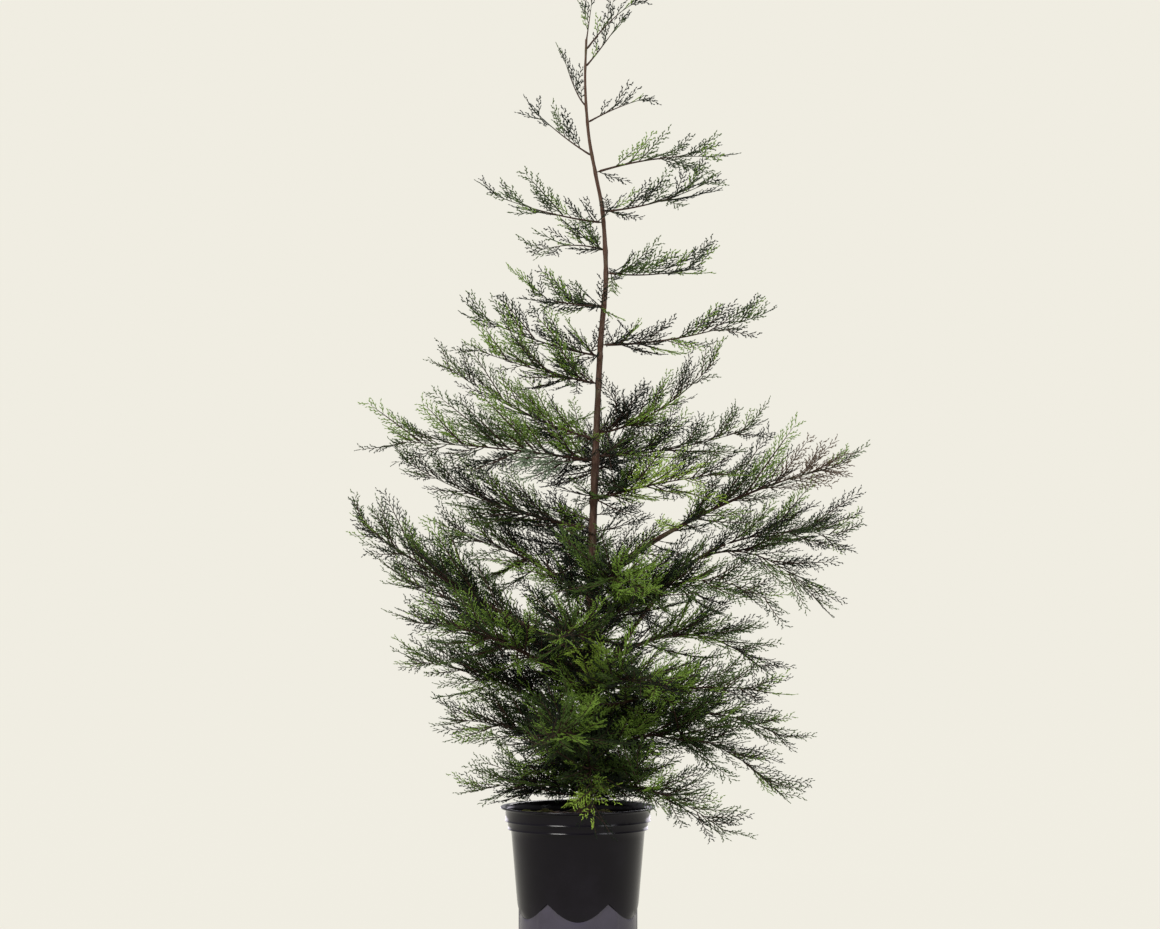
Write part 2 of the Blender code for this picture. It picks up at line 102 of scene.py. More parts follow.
@dataclass(frozen=True)
class Wire:
    """A socket of a shader's graph that takes part in arithmetic."""

    graph: "Graph"
    socket: bpy.types.NodeSocket

    def __add__(self, other: "Wire | float") -> "Wire":
        """The sum."""
        return self.graph.maths("ADD", self, other)

    def __sub__(self, other: "Wire | float") -> "Wire":
        """The difference."""
        return self.graph.maths("SUBTRACT", self, other)

    def __rsub__(self, other: float) -> "Wire":
        """A number less the wire."""
        return self.graph.maths("SUBTRACT", other, self)

    def __mul__(self, other: "Wire | float") -> "Wire":
        """The product."""
        return self.graph.maths("MULTIPLY", self, other)

    __radd__ = __add__
    __rmul__ = __mul__


@dataclass(frozen=True)
class Graph:
    """The node tree of one material or world, built up by calls."""

    tree: bpy.types.NodeTree

    def feed(self, node: Node, values: dict) -> None:
        """Fills a node's input sockets.

        Args:
            node: The node.
            values: What they hold, by name or number: a number, a colour or a wire.
        """
        for key, value in values.items():
            socket = node.inputs[key]
            if isinstance(value, Wire):
                self.tree.links.new(value.socket, socket)
            elif isinstance(value, tuple) and socket.type == "RGBA":
                socket.default_value = (*value, 1.0)
            else:
                socket.default_value = value

    def node(self, kind: str, settings: dict, values: dict, output: str | int = 0) -> Wire:
        """Adds one node.

        Args:
            kind: The node's type.
            settings: Its own properties, set first.
            values: What its input sockets hold, as feed() takes it.
            output: The name or number of the output that is wanted.

        Returns:
            That output.
        """
        made = self.tree.nodes.new(kind)
        for key, value in settings.items():
            setattr(made, key, value)
        self.feed(made, values)
        return Wire(self, made.outputs[output])

    def maths(self, operation: str, a: Wire | float, b: Wire | float) -> Wire:
        """Arithmetic on two values."""
        return self.node("ShaderNodeMath", {"operation": operation}, {0: a, 1: b})

    def place(self, scale: Triple = (1, 1, 1), attribute: str = "") -> Wire:
        """Coordinates in metres.

        Args:
            scale: Factors by axis.
            attribute: A vector attribute to read in place of the object's own coordinates.

        Returns:
            The coordinates.
        """
        if attribute:
            source = self.node("ShaderNodeAttribute", {"attribute_name": attribute}, {}, "Vector")
        else:
            source = self.node("ShaderNodeTexCoord", {}, {}, "Object")
        return self.node("ShaderNodeMapping", {}, {"Vector": source, "Scale": scale})

    def noise(self, place: Wire, scale: float, detail: float = 3, rough: float = 0.55) -> Wire:
        """Soft noise from 0 to 1."""
        values = {"Vector": place, "Scale": scale, "Detail": detail, "Roughness": rough}
        return self.node("ShaderNodeTexNoise", {}, values, "Fac")

    def step(self, value: Wire, low: float, high: float) -> Wire:
        """A smooth step from 0 at low to 1 at high."""
        settings = {"interpolation_type": "SMOOTHSTEP"}
        return self.node("ShaderNodeMapRange", settings, {"Value": value, "From Min": low, "From Max": high})

    def blend(self, factor: Wire | float, a: Wire | Colour, b: Wire | Colour) -> Wire:
        """A mix of two colours."""
        return self.node("ShaderNodeMix", {"data_type": "RGBA"}, {0: factor, 6: a, 7: b}, 2)

    def relief(self, *layers: tuple[Wire, float, float]) -> Wire:
        """A normal that follows layers of relief, each laid over the one before it.

        Args:
            layers: Of each its height from 0 to 1, what 1 stands for in metres, and how much of it shows.

        Returns:
            The normal.
        """
        under = {}
        for height, distance, strength in layers:
            values = {"Height": height, "Distance": distance, "Strength": strength}
            normal = self.node("ShaderNodeBump", {}, values | under, "Normal")
            under = {"Normal": normal}
        return normal


# Finishes


@dataclass(frozen=True)
class Finish:
    """A finish with its constants on the shader's own sockets; the kinds below paint over them."""

    name: str
    colour: Colour
    roughness: float = 0.6
    specular: float = 0.5

    def paint(self, graph: Graph) -> dict[str, Wire | Colour | float]:
        """What the shader's sockets take in place of the constants, by name."""
        return {}

    def material(self) -> bpy.types.Material:
        """Makes the Blender material, once for each name.

        Returns:
            The material.
        """
        if self.name in bpy.data.materials:
            return bpy.data.materials[self.name]
        made = bpy.data.materials.new(self.name)
        made.use_nodes = True
        made.diffuse_color = (*self.colour, 1.0)
        graph = Graph(made.node_tree)
        shader = made.node_tree.nodes["Principled BSDF"]
        graph.feed(shader, {"Base Color": self.colour, "Roughness": self.roughness})
        graph.feed(shader, {"Specular IOR Level": self.specular})
        graph.feed(shader, self.paint(graph))
        return made


@dataclass(frozen=True)
class PotPlastic(Finish):
    """Moulded black plastic: fine grain, handling marks and dust that gathers towards the foot."""

    dust: Colour = (0.010, 0.008, 0.013)
    dust_height: float = 0.11
    flow: Triple = (1, 1, 0.12)
    rubbed: Triple = (1, 1, 3.5)

    def paint(self, graph: Graph) -> dict[str, Wire]:
        """Grain, marks and dust.

        Args:
            graph: The material's graph.

        Returns:
            What the shader's sockets take.
        """
        place = graph.place()
        clouds = graph.noise(place, 14, 5, 0.6)
        drawn = graph.noise(graph.place(self.flow), 90)
        grain = graph.noise(place, 2600, 2)
        scuffs = graph.step(graph.noise(graph.place(self.rubbed), 55, 6, 0.7), 0.60, 0.74)
        height = graph.node("ShaderNodeSeparateXYZ", {}, {0: place}, "Z")
        low = 1 - graph.step(height, 0.0, self.dust_height)
        veil = graph.step(clouds, 0.40, 0.75) * 0.30 + low * 0.34 + scuffs * 0.22
        return {
            "Base Color": graph.blend(veil, self.colour, self.dust),
            "Roughness": self.roughness + (clouds - 0.5) * 0.14 + drawn * 0.04 + scuffs * 0.14,
            "Normal": graph.relief((grain, 0.00004, 0.6), (drawn, 0.00012, 0.5), (scuffs, 0.00006, 0.5)),
        }


@dataclass(frozen=True)
class Peat(Finish):
    """Damp compost: dark peat with paler fibres and crumbs."""

    pale: Colour = (0.085, 0.055, 0.032)
    wet: Colour = (0.012, 0.008, 0.005)

    def paint(self, graph: Graph) -> dict[str, Wire]:
        """Crumbs, fibres and damp patches.

        Args:
            graph: The material's graph.

        Returns:
            What the shader's sockets take.
        """
        place = graph.place()
        crumbs = graph.node("ShaderNodeTexVoronoi", {}, {"Vector": place, "Scale": 260.0}, "Distance")
        fibres = graph.noise(place, 420, 6, 0.7)
        damp = graph.step(graph.noise(place, 28), 0.42, 0.62)
        colour = graph.blend(graph.step(fibres, 0.45, 0.72), self.colour, self.pale)
        return {
            "Base Color": graph.blend(damp * 0.6, colour, self.wet),
            "Roughness": self.roughness - damp * 0.3,
            "Normal": graph.relief((crumbs, 0.0016, 0.8), (fibres, 0.0006, 0.8)),
        }


@dataclass(frozen=True)
class Speckled(Finish):
    """A small rough thing whose colour wanders a little: a chip of bark, a bit of grit or moss."""

    other: Colour = (0.2, 0.2, 0.2)
    scale: float = 300

    def paint(self, graph: Graph) -> dict[str, Wire]:
        """The second colour and a grain.

        Args:
            graph: The material's graph.

        Returns:
            What the shader's sockets take.
        """
        specks = graph.noise(graph.place(), self.scale, 4, 0.65)
        return {
            "Base Color": graph.blend(graph.step(specks, 0.38, 0.66), self.colour, self.other),
            "Normal": graph.relief((specks, 0.0005, 0.7)),
        }


@dataclass(frozen=True)
class StripBark(Finish):
    """Thin red-brown bark that splits lengthwise into grey strips; it follows the limb's own length."""

    strip: Colour = (0.100, 0.070, 0.052)
    crack: Colour = (0.035, 0.017, 0.012)
    red: Colour = (0.080, 0.034, 0.020)
    moss: Colour = (0.075, 0.085, 0.040)
    lengthwise: Triple = (1, 1, 0.10)
    across: Triple = (0.5, 0.5, 2.2)

    def paint(self, graph: Graph) -> dict[str, Wire]:
        """Strips, cracks, a little green film and scars.

        Args:
            graph: The material's graph.

        Returns:
            What the shader's sockets take.
        """
        along = graph.place(self.lengthwise, "straight")
        strips = graph.noise(along, 620, 5, 0.62)
        broad = graph.noise(along, 190)
        scars = graph.noise(graph.place(self.across, "straight"), 120, 2)
        film = graph.noise(graph.place(), 34, 4)
        colour = graph.blend(graph.step(strips, 0.46, 0.70), self.colour, self.strip)
        colour = graph.blend(graph.step(broad, 0.55, 0.72) * 0.6, colour, self.red)
        colour = graph.blend(1 - graph.step(strips, 0.30, 0.44), colour, self.crack)
        return {
            "Base Color": graph.blend(graph.step(film, 0.52, 0.72) * 0.45, colour, self.moss),
            "Roughness": self.roughness - graph.step(strips, 0.5, 0.7) * 0.18,
            "Normal": graph.relief((broad, 0.0009, 0.8), (strips, 0.0006, 0.9), (scars, 0.0003, 0.5)),
        }


@dataclass(frozen=True)
class PaleSweep(Finish):
    """The studio's floor, which glows about as bright as the backdrop round it."""

    glow: float = 0.62

    def paint(self, graph: Graph) -> dict[str, Wire | Colour | float]:
        """An even glow and a faint unevenness.

        Args:
            graph: The material's graph.

        Returns:
            What the shader's sockets take.
        """
        rough = self.roughness + graph.noise(graph.place(), 3) * 0.1
        return {"Emission Strength": self.glow, "Emission Color": Studio.BACKDROP, "Roughness": rough}


class Tone(Enum):
    """The colours that are dealt out to whole sprays, each a plain base colour."""

    DEEP = Finish("Scale leaves, deep", (0.006, 0.010, 0.005), 0.7, 0.12)
    DARK = Finish("Scale leaves, dark", (0.016, 0.028, 0.008), 0.7, 0.12)
    GREEN = Finish("Scale leaves, green", (0.046, 0.082, 0.014), 0.65, 0.15)
    FRESH = Finish("Scale leaves, fresh", (0.125, 0.210, 0.026), 0.6, 0.2)
    LIME = Finish("Scale leaves, lime", (0.240, 0.360, 0.045), 0.6, 0.2)
    SAGE = Finish("Scale leaves, sage", (0.120, 0.175, 0.095), 0.55, 0.35)
    RUSSET = Finish("Scale leaves, russet", (0.085, 0.058, 0.036), 0.6, 0.3)
    TWIG = Finish("Twig, brown", (0.034, 0.018, 0.012), 0.75, 0.15)
    YOUNG = Finish("Twig, young", (0.026, 0.030, 0.012), 0.7, 0.15)


TONES = list(Tone)
LEAF_TONES = TONES[: TONES.index(Tone.TWIG)]
PLASTIC = PotPlastic("Pot plastic", (0.0022, 0.0014, 0.0032), 0.14, 0.17)
# Painted reflection: a much lighter copy of the pot plastic for the foot below the tongues, with its own
# higher roughness.
FOOT_PAINTED_REFLECTION = PotPlastic("Pot plastic, foot", (0.044, 0.038, 0.060), 0.22, 0.5)
PEAT = Peat("Peat", (0.026, 0.016, 0.010), 0.95, 0.3)
CRUMB = Speckled("Peat crumb", (0.022, 0.014, 0.009), 0.95, 0.3, (0.050, 0.033, 0.021), 500)
CHIP = Speckled("Bark chip", (0.110, 0.060, 0.035), 0.9, 0.3, (0.050, 0.026, 0.016), 400)
GRIT = Speckled("Grit", (0.42, 0.38, 0.33), 0.85, 0.4, (0.25, 0.22, 0.19), 700)
MOSS = Speckled("Moss", (0.105, 0.120, 0.022), 0.9, 0.2, (0.060, 0.080, 0.018), 300)
MOSS_DRY = Speckled("Moss, dry", (0.170, 0.130, 0.045), 0.9, 0.2, (0.095, 0.075, 0.030), 300)
BARK = StripBark("Bark", (0.050, 0.026, 0.017), 0.85, 0.15)


# Mesh tools


def placed(name: str, data: bpy.types.ID) -> bpy.types.Object:
    """Puts an object in the scene.

    Args:
        name: Its name.
        data: Its mesh, lamp or camera.

    Returns:
        The object.
    """
    made = bpy.data.objects.new(name, data)
    bpy.context.scene.collection.objects.link(made)
    return made


def finished(name: str, mesh: Mesh, finishes: list[Finish], nodes: tuple[str, ...] = ()) -> None:
    """Puts a mesh in the scene as a finished piece.

    Args:
        name: The piece's name.
        mesh: Its mesh, already in place.
        finishes: The finishes of its material slots.
        nodes: The CAD nodes that it stands for.
    """
    piece = placed(name, mesh)
    for finish in finishes:
        mesh.materials.append(finish.material())
    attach(piece, "root")
    if nodes:
        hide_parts(*nodes)
    mesh.calc_loop_triangles()
    log.info("%s: %d triangles", name, len(mesh.loop_triangles))


def from_bmesh(name: str, bm: BMesh, sharp: float = 40) -> Mesh:
    """Turns a bmesh into a smooth mesh with sharp edges past an angle.

    Args:
        name: The mesh's name.
        bm: The bmesh, which is freed.
        sharp: The angle in degrees.

    Returns:
        The mesh.
    """
    mesh = bpy.data.meshes.new(name)
    bm.to_mesh(mesh)
    bm.free()
    mesh.shade_smooth()
    mesh.set_sharp_from_angle(angle=math.radians(sharp))
    return mesh


def turned(profile: list[Pair], steps: int) -> BMesh:
    """Spins a profile that starts and ends on the axis into a closed shell.

    Args:
        profile: (radius, height) of its points.
        steps: How many steps the turn has.

    Returns:
        The shell, its faces outwards.
    """
    bm = bmesh.new()
    points = [bm.verts.new((radius, 0.0, height)) for radius, height in profile]
    edges = [bm.edges.new(pair) for pair in zip(points, points[1:])]
    bmesh.ops.spin(
        bm, geom=points + edges, cent=(0, 0, 0), axis=(0, 0, 1), angle=math.tau, steps=steps, use_merge=True
    )
    bmesh.ops.remove_doubles(bm, verts=bm.verts, dist=1e-6)
    bmesh.ops.recalc_face_normals(bm, faces=bm.faces)
    return bm


def unit(vectors: Array) -> Array:
    """The vectors at a length of one."""
    return vectors / np.maximum(np.linalg.norm(vectors, axis=-1, keepdims=True), 1e-9)


def square_to(vectors: Array, heading: Array) -> Array:
    """The vectors made square to their headings, at a length of one."""
    along = np.sum(vectors * heading, axis=-1, keepdims=True)
    return unit(vectors - heading * along)


# The tree's plan, as its solids have it


@dataclass(frozen=True)
class Branch:
    """One branch, from its root on the trunk's axis, or on its parent, to its furthest tip.

    The height of a branch with a parent is its place along that parent, as a share of its length.
    """

    name: str
    height: float
    azimuth: float
    reach: float
    lift: float
    bow: float
    spread: float
    bare: float = 0.0
    parent: str = ""


BRANCHES = (
    Branch("leader", 1.615, 0, 0.012, 0.086, 0.0, 0.022),
    Branch("right_1", 1.60, -15, 0.095, 0.085, 0.010, 0.025),
    Branch("right_2", 1.57, 25, 0.080, 0.100, -0.004, 0.022),
    Branch("left_1", 1.50, 155, 0.050, 0.110, -0.018, 0.020),
    Branch("right_3", 1.47, -25, 0.120, 0.040, 0.004, 0.025),
    Branch("left_2", 1.41, 150, 0.130, 0.095, -0.005, 0.032),
    Branch("right_4", 1.38, -22, 0.240, 0.020, 0.012, 0.040),
    Branch("right_5", 1.31, 25, 0.235, 0.070, -0.012, 0.045),
    Branch("left_3", 1.29, 205, 0.220, 0.045, -0.008, 0.045),
    Branch("left_4", 1.24, 145, 0.165, 0.000, 0.012, 0.040),
    Branch("right_6", 1.20, -25, 0.190, 0.010, -0.010, 0.050),
    Branch("left_5", 1.14, 222, 0.180, 0.018, -0.006, 0.050),
    Branch("right_7", 1.07, -10, 0.300, 0.055, -0.014, 0.042),
    Branch("left_6", 1.05, 163, 0.245, 0.080, -0.010, 0.045),
    Branch("left_7", 1.00, 205, 0.245, 0.060, -0.006, 0.055),
    Branch("left_8", 0.90, 165, 0.290, 0.140, -0.018, 0.055),
    Branch("right_8", 0.91, -25, 0.240, 0.135, -0.025, 0.050),
    Branch("right_9", 0.87, 27, 0.330, 0.055, -0.012, 0.052),
    Branch("left_9", 0.86, 199, 0.375, 0.035, 0.006, 0.075),
    Branch("back_1", 0.84, 80, 0.245, 0.045, 0.006, 0.055),
    Branch("right_10", 0.79, -32, 0.305, 0.050, 0.008, 0.055),
    Branch("left_10", 0.74, 170, 0.355, 0.125, -0.020, 0.055),
    Branch("back_2", 0.67, 102, 0.305, 0.050, 0.012, 0.060),
    Branch("right_11", 0.64, -13, 0.465, 0.215, 0.032, 0.065, bare=0.34),
    Branch("front_1", 0.63, -71, 0.285, -0.010, 0.030, 0.055),
    Branch("left_11", 0.61, 152, 0.305, 0.115, 0.025, 0.055),
    Branch("back_3", 0.55, 75, 0.380, 0.050, 0.022, 0.065, bare=0.30),
    Branch("right_12", 0.54, -29, 0.375, 0.070, 0.070, 0.058),
    Branch("front_2", 0.52, 261, 0.345, 0.035, 0.022, 0.058),
    Branch("left_12", 0.51, 196, 0.435, 0.250, -0.014, 0.072, bare=0.32),
    Branch("left_13", 0.47, 156, 0.395, 0.175, 0.022, 0.070, bare=0.30),
    Branch("right_13", 0.47, 27, 0.370, 0.000, 0.075, 0.060, bare=0.30),
    Branch("left_14", 0.44, 218, 0.390, 0.140, 0.032, 0.065, bare=0.30),
    Branch("back_4", 0.45, 102, 0.390, 0.030, 0.022, 0.065),
    Branch("right_fork", 0.42, 12, 0.255, 0.290, 0.050, 0.0, bare=1.0),
    Branch("right_14", 1.0, 13, 0.230, 0.010, 0.016, 0.066, parent="right_fork"),
    Branch("right_15", 0.80, -14, 0.225, -0.080, 0.045, 0.060, parent="right_fork"),
    Branch("front_3", 0.43, -66, 0.340, 0.040, 0.025, 0.058),
    Branch("right_16", 0.40, -35, 0.380, 0.060, 0.025, 0.060, bare=0.28),
    Branch("left_15", 0.39, 169, 0.330, 0.110, 0.018, 0.060),
    Branch("back_5", 0.37, 74, 0.390, -0.015, 0.026, 0.064),
    Branch("right_17", 0.36, 9, 0.375, -0.006, 0.050, 0.064, bare=0.30),
    Branch("front_4", 0.35, 256, 0.345, 0.020, 0.026, 0.060),
    Branch("left_16", 0.33, 207, 0.265, 0.075, 0.012, 0.060),
    Branch("right_18", 0.32, -10, 0.365, -0.065, 0.080, 0.066),
    Branch("front_5", 0.31, -86, 0.205, -0.100, 0.055, 0.050),
    Branch("left_17", 0.28, 154, 0.235, -0.020, 0.006, 0.045),
    Branch("right_19", 0.275, -33, 0.300, -0.070, 0.034, 0.060),
)


@dataclass(frozen=True)
class Stem:
    """The trunk's line, lean, taper and root flare."""

    way: tuple[Pair, ...] = (
        (0.2238, 0.012), (0.43, 0.018), (0.69, 0.025), (0.88, 0.032), (1.08, 0.041), (1.19, 0.050),
        (1.31, 0.044), (1.38, 0.031), (1.45, 0.019), (1.54, 0.013), (1.62, 0.015),
    )
    radius: float = 0.0105
    tip_radius: float = 0.0019
    taper: float = 1.1
    flare: float = 0.007
    flare_height: float = 0.016

    def foot(self) -> float:
        """Height of the flat cut at the compost."""
        return self.way[0][0]

    def top(self) -> float:
        """Height of the tip."""
        return self.way[-1][0]

    def slope(self, k: int) -> float:
        """How far the axis moves aside for each step up, at one point of the way."""
        low, high = self.way[max(k - 1, 0)], self.way[min(k + 1, len(self.way) - 1)]
        return (high[1] - low[1]) / (high[0] - low[0])

    def point(self, height: float) -> Vector:
        """The axis at a height, on a smooth curve through the way.

        Args:
            height: The height.

        Returns:
            The point.
        """
        way = self.way
        i = max(1, next((k for k, (z, _) in enumerate(way) if z >= height), len(way) - 1))
        (z0, x0), (z1, x1) = way[i - 1], way[i]
        span = z1 - z0
        t = min(max((height - z0) / span, 0.0), 1.0)
        start, end = self.slope(i - 1) * span, self.slope(i) * span
        x = (2 * t**3 - 3 * t**2 + 1) * x0 + (t**3 - 2 * t**2 + t) * start
        x += (3 * t**2 - 2 * t**3) * x1 + (t**3 - t**2) * end
        return Vector((x, 0, height))

    def thick(self, height: float) -> float:
        """The trunk's radius.

        Args:
            height: The height.

        Returns:
            The radius there, without the bark's relief.
        """
        share = min(1.0, (height - self.foot()) / (self.top() - self.foot()))
        taper = self.tip_radius + (self.radius - self.tip_radius) * (1 - share) ** self.taper
        return taper + self.flare * math.exp(-(height - self.foot()) / self.flare_height)


class Way:
    """A branch's centre line and radius."""

    SWAY = 0.03
    LEAST_RADIUS = 0.0011
    RADIUS_BY_LENGTH = 0.0085
    TIP_RADIUS = 0.0006
    TAPER = 1.15

    def __init__(self, branch: Branch, root: Vector) -> None:
        """Lays a branch out.

        Args:
            branch: Its sizes.
            root: Where its line starts, on the axis of what bears it.
        """
        azimuth = math.radians(branch.azimuth)
        self.branch = branch
        self.root = root
        self.out = Vector((math.cos(azimuth), math.sin(azimuth), 0))
        self.across = Vector((-self.out.y, self.out.x, 0))
        self.sway = random.Random(branch.name).uniform(-self.SWAY, self.SWAY) * branch.reach
        self.length = math.hypot(branch.reach, branch.lift)
        self.radius = self.LEAST_RADIUS + self.RADIUS_BY_LENGTH * self.length

    def point(self, t: float) -> Vector:
        """The line's point at a share of its length.

        Args:
            t: The share.

        Returns:
            The point.
        """
        b = self.branch
        level = self.root + self.out * (b.reach * t) + self.across * (self.sway * math.sin(math.pi * t))
        return level + Vector((0, 0, b.lift * t + b.bow * 4 * t * (1 - t)))

    def tangent(self, t: float) -> Vector:
        """The direction at a share of its length."""
        step = 1e-3
        return (self.point(t + step) - self.point(t - step)).normalized()

    def thick(self, t: float) -> float:
        """The radius at a share of its length."""
        return self.radius * (1 - min(t, 1.0)) ** self.TAPER + self.TIP_RADIUS

    def collar(self, t: float, swell: float, length: float) -> float:
        """How much stouter it is near its root, by a share of its radius that fades along a length."""
        return swell * self.radius * math.exp(-t * self.length / length)


def body(share: Array | float) -> Array | float:
    """The outline of a branch or spray: how long its shoots are by their place along it."""
    return np.minimum(1.0, BODY_START + BODY_RISE * share) * (1 - BODY_FALL * share)


# Shoots and the meshes that they are joined to


@dataclass(frozen=True)
class Habit:
    """How one order of shoots stands on the order that bears it; leans are in degrees."""

    every: float
    first: float
    last: float
    lean: float
    lean_jitter: float
    share: float
    least: float
    most: float
    roll: float
    forward: float
    rise: float
    place_jitter: float = 0.35
    lengths: Pair = (0.7, 1.2)


@dataclass
class Shoots:
    """Shoots of one order, with one row of each array for each shoot."""

    root: Array
    way: Array
    flat: Array
    length: Array
    curl: Array
    tone: Array

    def __len__(self) -> int:
        """How many there are."""
        return len(self.length)

    def point(self, share: Array) -> Array:
        """A point of each shoot's line."""
        return self.root + self.way * (self.length * share)[:, None] + self.curl * (share**2)[:, None]

    def heading(self, share: Array) -> Array:
        """The direction of each shoot's line."""
        return unit(self.way * self.length[:, None] + 2 * self.curl * share[:, None])

    def only(self, keep: Array) -> "Shoots":
        """The shoots that a mask keeps, or those of a list of row numbers."""
        return Shoots(*(getattr(self, item.name)[keep] for item in fields(self)))

    def grow(self, habit: Habit, chance: Chance) -> "Shoots":
        """Grows the next order, by turns to both sides, in the plane of each spray.

        Args:
            habit: How the new shoots stand.
            chance: The source of their small differences.

        Returns:
            The new shoots.
        """
        run = habit.last - habit.first
        count = np.maximum(2, np.round(self.length * run / habit.every).astype(int))
        bearer = np.repeat(np.arange(len(self)), count)
        place = np.arange(count.sum()) - np.repeat(np.cumsum(count) - count, count)
        jitter = chance.uniform(-habit.place_jitter, habit.place_jitter, len(place))
        share = habit.first + run * ((place + 0.5 + jitter) / count[bearer])
        on = self.only(bearer)
        heading = on.heading(share)
        side = square_to(on.flat, heading)
        roll = np.radians(chance.normal(0, habit.roll, len(place)))[:, None]
        side = side * np.cos(roll) + np.cross(heading, side) * np.sin(roll)
        side *= np.where(place % 2 == 0, 1.0, -1.0)[:, None]
        jitter = chance.uniform(-habit.lean_jitter, habit.lean_jitter, len(place))
        lean = np.radians(habit.lean + jitter)[:, None]
        way = unit(heading * np.cos(lean) + side * np.sin(lean))
        length = on.length * habit.share * body(share) * chance.uniform(*habit.lengths, len(place))
        length = np.clip(length, habit.least, habit.most)
        curl = heading * (habit.forward * length)[:, None] + UP * (habit.rise * length)[:, None]
        flat = side * np.cos(lean) - heading * np.sin(lean)
        return Shoots(on.point(share), way, flat, length, curl, on.tone)

    def spindles(self, stations: tuple[Pair, ...], sides: int, slim: float, thick: Array) -> Body:
        """Closed tapering bodies, each with a pole at both ends and rings between.

        Args:
            stations: (share along, share of the thickness) of each ring.
            sides: How many sides a ring has.
            slim: The thickness through the spray, as a share of that across it.
            thick: The radius of each shoot.

        Returns:
            Points, triangles and the tone of each triangle.
        """
        turn = np.arange(sides) * math.tau / sides
        rings = [self.point(np.zeros(len(self)))[:, None]]
        for share, fat in stations:
            at = np.full(len(self), share)
            heading = self.heading(at)
            side = square_to(self.flat, heading)
            through = np.cross(heading, side)
            spoke = side[:, None] * np.cos(turn)[:, None] + through[:, None] * (slim * np.sin(turn))[:, None]
            rings.append(self.point(at)[:, None] + spoke * (fat * thick)[:, None, None])
        rings.append(self.point(np.ones(len(self)))[:, None])
        points = np.concatenate(rings, axis=1)
        pattern = spindle_triangles(len(stations), sides)
        triangles = np.arange(len(self))[:, None, None] * points.shape[1] + pattern
        return points.reshape(-1, 3), triangles.reshape(-1, 3), np.repeat(self.tone, len(pattern))


def spindle_triangles(rings: int, sides: int) -> Array:
    """The triangles of one spindle: a pole, rings of sides, and a pole.

    Args:
        rings: How many rings it has.
        sides: How many sides a ring has.

    Returns:
        Three vertex numbers to a row, facing outwards.
    """
    rows = []
    top = 1 + (rings - 1) * sides
    for k in range(sides):
        after = (k + 1) % sides
        rows.append((0, 1 + after, 1 + k))
        for low in range(1, top, sides):
            high = low + sides
            rows.append((low + k, low + after, high + after))
            rows.append((low + k, high + after, high + k))
        rows.append((top + k, top + after, top + sides))
    return np.array(rows)


@dataclass
class Joined:
    """Many small bodies on their way to one joined mesh."""

    points: list[Array] = field(default_factory=list)
    triangles: list[Array] = field(default_factory=list)
    tones: list[Array] = field(default_factory=list)
    nodes: list[str] = field(default_factory=list)
    size: int = 0

    def add(self, *bodies: Body) -> None:
        """Adds bodies.

        Args:
            bodies: Points, triangles and tones of each.
        """
        for points, triangles, tones in bodies:
            self.triangles.append(triangles + self.size)
            self.points.append(points)
            self.tones.append(tones)
            self.size += len(points)

    def faces(self) -> int:
        """How many triangles there are."""
        return sum(len(rows) for rows in self.triangles)

    def body(self) -> Body:
        """The bodies as one: points, triangles and tones."""
        return np.concatenate(self.points), np.concatenate(self.triangles), np.concatenate(self.tones)

    def piece(self, name: str, finishes: list[Finish], slot: Slot) -> None:
        """Makes the joined piece.

        Args:
            name: Its name.
            finishes: Its finishes, in the order of the tones.
            slot: The record's slot; not used.
        """
        points, triangles, tones = self.body()
        mesh = bpy.data.meshes.new(name)
        mesh.vertices.add(len(points))
        mesh.vertices.foreach_set("co", points.astype(np.float32).ravel())
        mesh.loops.add(triangles.size)
        mesh.loops.foreach_set("vertex_index", triangles.astype(np.int32).ravel())
        mesh.polygons.add(len(triangles))
        mesh.polygons.foreach_set("loop_start", np.arange(0, triangles.size, 3, dtype=np.int32))
        mesh.polygons.foreach_set("material_index", tones.astype(np.int32))
        mesh.update(calc_edges=True)
        mesh.shade_smooth()
        finished(name, mesh, finishes, tuple(self.nodes))


# The crown


@dataclass(frozen=True)
class Glow:
    """A place whose sprays in front get one tone: a painted highlight in the greens, a real brown tint in
    russet.
    """

    x: float
    z: float
    radius: float
    tone: Tone


@dataclass(frozen=True)
class Tufts:
    """How the short sprays that fill one part of the crown stand."""

    rise: Pair
    length: Pair
    crook: float
    curl: float

    def spray(self, root: Vector, turn: float, chance: Chance) -> tuple:
        """One short spray.

        Args:
            root: Where it starts.
            turn: Where it points, seen from above, in radians.
            chance: The source of its differences.

        Returns:
            Its root, direction, plane, length and curl.
        """
        out = np.array((math.cos(turn), math.sin(turn), chance.uniform(*self.rise)))
        length = chance.uniform(*self.length)
        flat = np.cross(out, UP) + self.crook * chance.normal(0, 1, 3)
        return np.array(root), unit(out), flat, length, UP * (self.curl * length)


